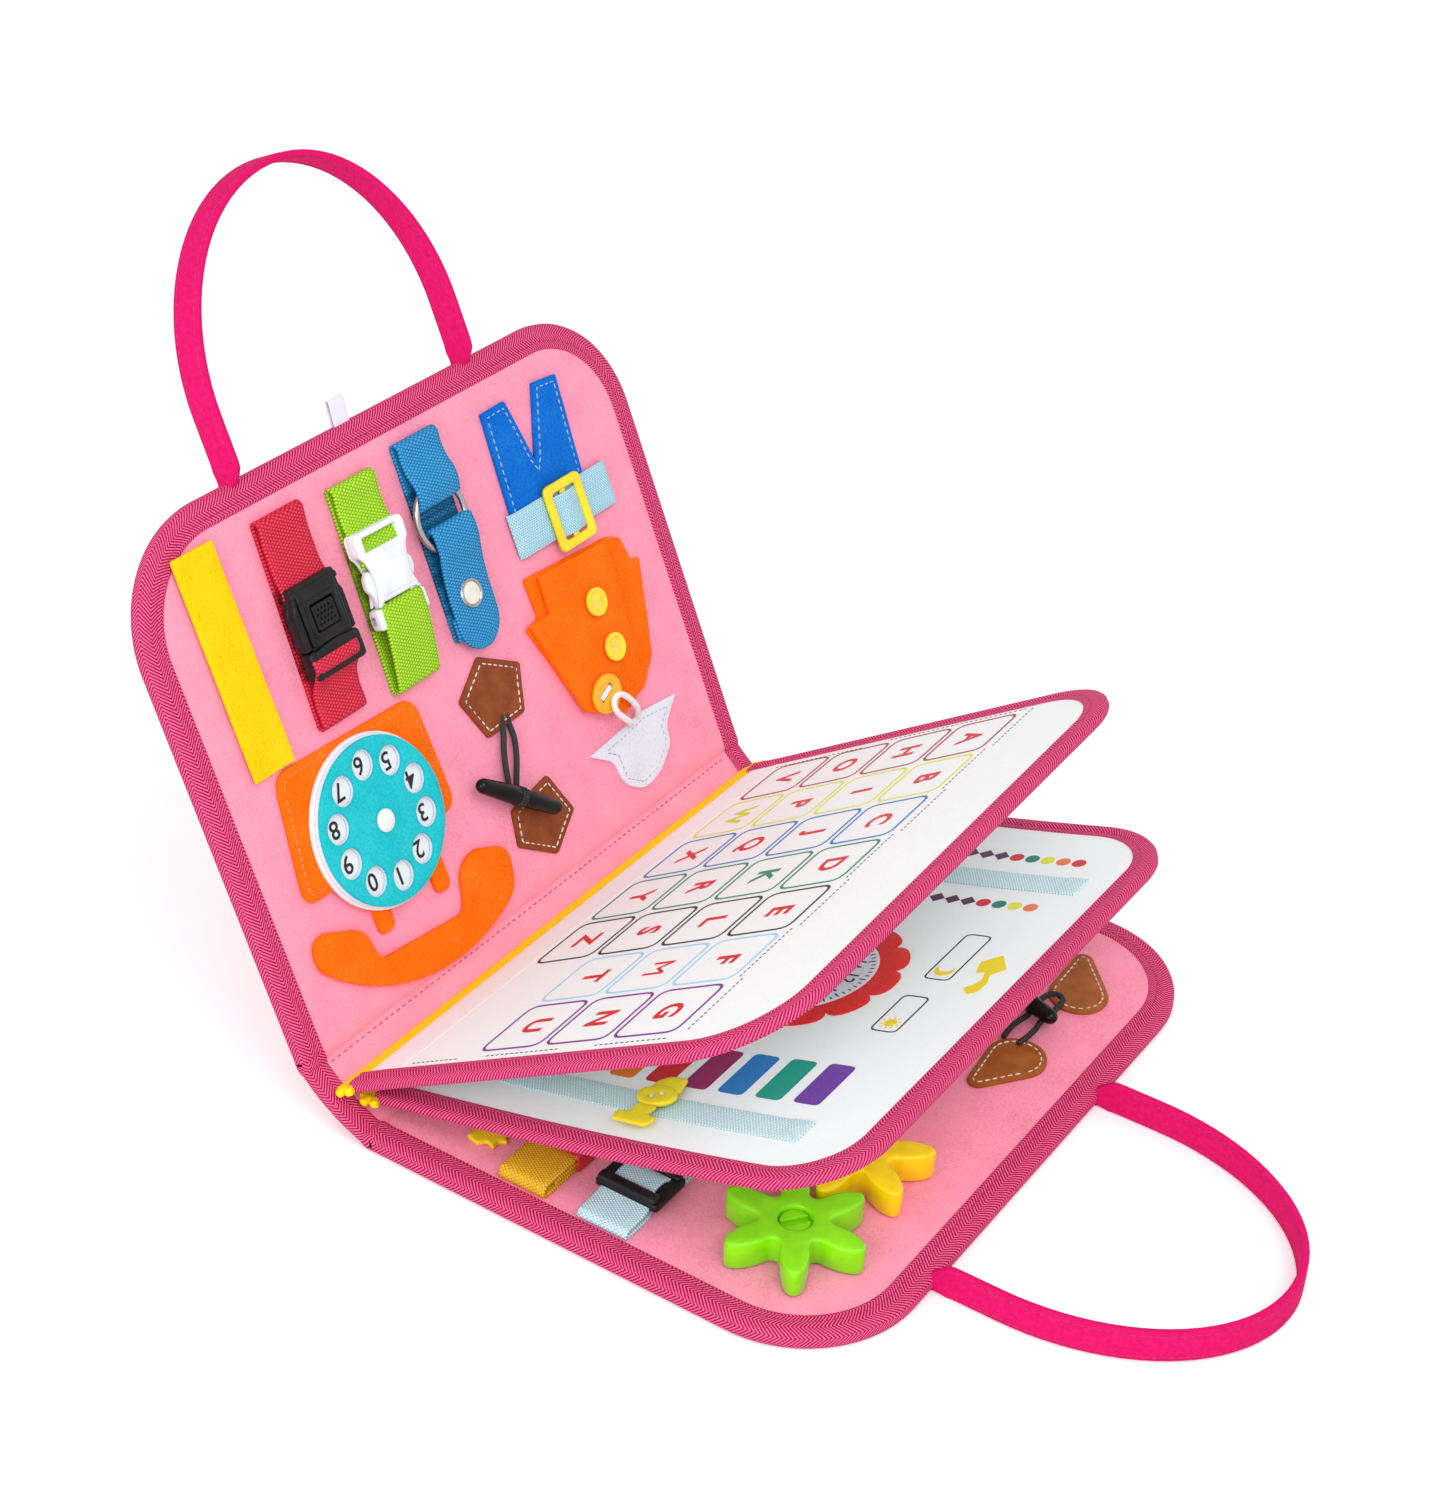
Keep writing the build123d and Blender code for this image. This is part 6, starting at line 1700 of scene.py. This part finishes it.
DOT_INKS = ["#d8232b", "#ee7a4a", "#e4e83a", "#14806c", "#d8232b", "#57204f", "#57204f", "#57204f"]
marks = {}
for k, (out, colour) in enumerate(TAB_INKS):
    marks.setdefault(colour, []).append(film_mesh([box_outline(*TAB_SIZE, TAB_X2 - 0.8 * k, -out, 2.4)], INK_Z))
for x, out, first in ((104.0, 187.0, 0), (65.0, 185.5, 1)):
    for k in range(12):
        colour = DOT_INKS[(k + first) % 8]
        y = -out + 7.3 * k
        shape = ring_points(3.1, x, y, 18) if (k + first) % 8 < 5 else [(x - 3.6, y), (x, y - 3.6), (x + 3.6, y), (x, y + 3.6)]
        marks.setdefault(colour, []).append(film_mesh([shape], INK_Z))
for k, (colour, parts) in enumerate(marks.items()):
    print_on("page_2", f"page_marks_{k + 1}", printed(f"mark ink {k + 1}", colour), parts)
frames = [film_mesh([box_outline(w, 12.0, x, -176.5, 3.0), box_outline(w - 1.3, 10.7, x, -176.5, 2.4)], INK_Z)
          for x, w in ((22.0, 36.0), (-22.5, 27.0))]
print_on("page_2", "frame_print", black_ink, frames)
sun = [film_mesh([ring_points(2.6, -29.5, -176.5, 20)], INK_Z)]
for k in range(10):
    a = 2 * pi * k / 10
    ray = [(3.2, -0.5), (4.6, 0), (3.2, 0.5)]
    sun.append(film_mesh([[(-29.5 + r * cos(a) - w * sin(a), -176.5 + r * sin(a) + w * cos(a)) for r, w in ray]], INK_Z))
sun.append(film_mesh([arc(11.5, -176.5, 4.2, 50, 310, 16) + arc(13.6, -176.5, 3.4, 290, 70, 12)], INK_Z))
arrow = [(0.6, -191), (-3.6, -195.2), (-1.0, -198.4), (6, -198.8), (11.5, -196.8), (17.5, -201), (27.1, -194.2), (20.3, -187.6), (12, -190.2),
         (13.6, -193.6), (8, -195.2), (4, -194.2)]
sun.append(film_mesh([rounded(arrow, 1.2)], INK_Z))
print_on("page_2", "sun_print", sun_ink, sun)
SUNK = twist("page_2", *CLOCK)
for name, length, width, lift, turn in (("hour_hand", 21.0, 7.0, 0.7, 60), ("minute_hand", 32.0, 5.0, 1.5, 0)):
    blade = [(-4.5, -width * 0.3), (-4.5, width * 0.3), (0, width * 0.42), (length * 0.62, width * 0.5), (length, 0), (length * 0.62, -width * 0.5),
             (0, -width * 0.42)]
    hand_place = PAGE_2 @ Matrix.Translation((*CLOCK, PAGE_HALF + lift + SUNK)) @ Matrix.Rotation(radians(turn), 4, "Z")
    plates(name + "_blade", [([rounded(blade, 0.9)], 0.7, 0.0, 0.2)], hand_place, black_acetal, name, "black_plastic", name)
points, faces = turned_mesh([(1.5, 0.3), (1.5, 2.2), (2.9, 2.3), (3.0, 2.7), (2.2, 3.1), (0.01, 3.25)])
pin_place = PAGE_2 @ Matrix.Translation((*CLOCK, PAGE_HALF + SUNK))
fix(make_piece("clock_pin", points, faces, pin_place, nickel, points), "page_2", "steel")

# ---------------------------------------------------------------- ribbons and day pointer
# Two pale blue woven ribbons sewn to page 2, hemmed at their outer ends, and a yellow
# moulded pointer that slides along the near one.
RIBBONS = [(-106.0, -118.5), (84.0, -130.0)]
RIBBON_WIDTH, RIBBON_LENGTH = 13.0, 138.0
ribbon_weave = belt_webbing("pale blue grosgrain ribbon", "#d8f8ff", pitch=1.3, column=0.9)
parts, hems = [], []
for x, y in RIBBONS:
    far = y - RIBBON_LENGTH / 2
    for outline, base in ((box_outline(RIBBON_WIDTH, RIBBON_LENGTH, x, y, 0.5), 0.0), (box_outline(RIBBON_WIDTH - 0.3, 9.0, x, far + 4.6, 0.4), 0.45)):
        points, faces = plate_mesh([outline], 0.6, edge=0.2, step=5.0, base=PAGE_HALF + 0.02 + base)
        parts.append((points, faces, [(b, a, c) for a, b, c in points]))
    for run in (1.6, 7.4):
        line = [(x - 5.8, far + run, PAGE_HALF + 1.0), (x + 5.8, far + run, PAGE_HALF + 1.0)]
        hems.append(stitch_mesh(line, pitch=1.9, length=1.4, width=0.5, rise=0.2))
print_on("page_2", "ribbons", ribbon_weave, parts, "light_blue_webbing", "page_2_ribbons")
print_on("page_2", "ribbon_hems", white_thread, hems, "white_cord")
POINTER = (-106.0, -120.0)
pointer_acetal = moulded("yellow translucent acetal", "#f3dd0a", roughness=0.25, grain=0.05, soft=0.15)
pointer_place = PAGE_2 @ Matrix.Translation((*POINTER, PAGE_HALF + 1.0 + twist("page_2", *POINTER) * 0.55))
oval = [(2 + 6.2 * cos(2 * pi * k / 28), 8.6 * sin(2 * pi * k / 28)) for k in range(28)]
eyes = [ring_points(0.95, 2 + dx, dy, 10) for dx, dy in ((-1.2, 1.6), (1.2, -1.6))]
plates("pointer_body", [
    ([rounded([(-16.5, -7.5), (-11, -9), (-10, -3.5), (-4, -4.5), (-4, 4.5), (-10, 4), (-10.5, 9.5), (-16, 8.5)], 1.6)], 1.5, 0.0, 0.5),
    ([oval, *eyes], 2.1, 0.0, 0.8),
    ([rounded([(6, -7.5), (15.2, -5.4), (14.5, 2.4), (10.5, 5.6), (5, 6)], 1.5)], 1.7, 0.1, 0.6),
], pointer_place, pointer_acetal, "day_pointer", "yellow_plastic", "day_pointer")
plates("pointer_eyes", [([eye], 1.9, 0.1, 0.2) for eye in eyes], pointer_place, white_acetal, "day_pointer", "yellow_plastic")
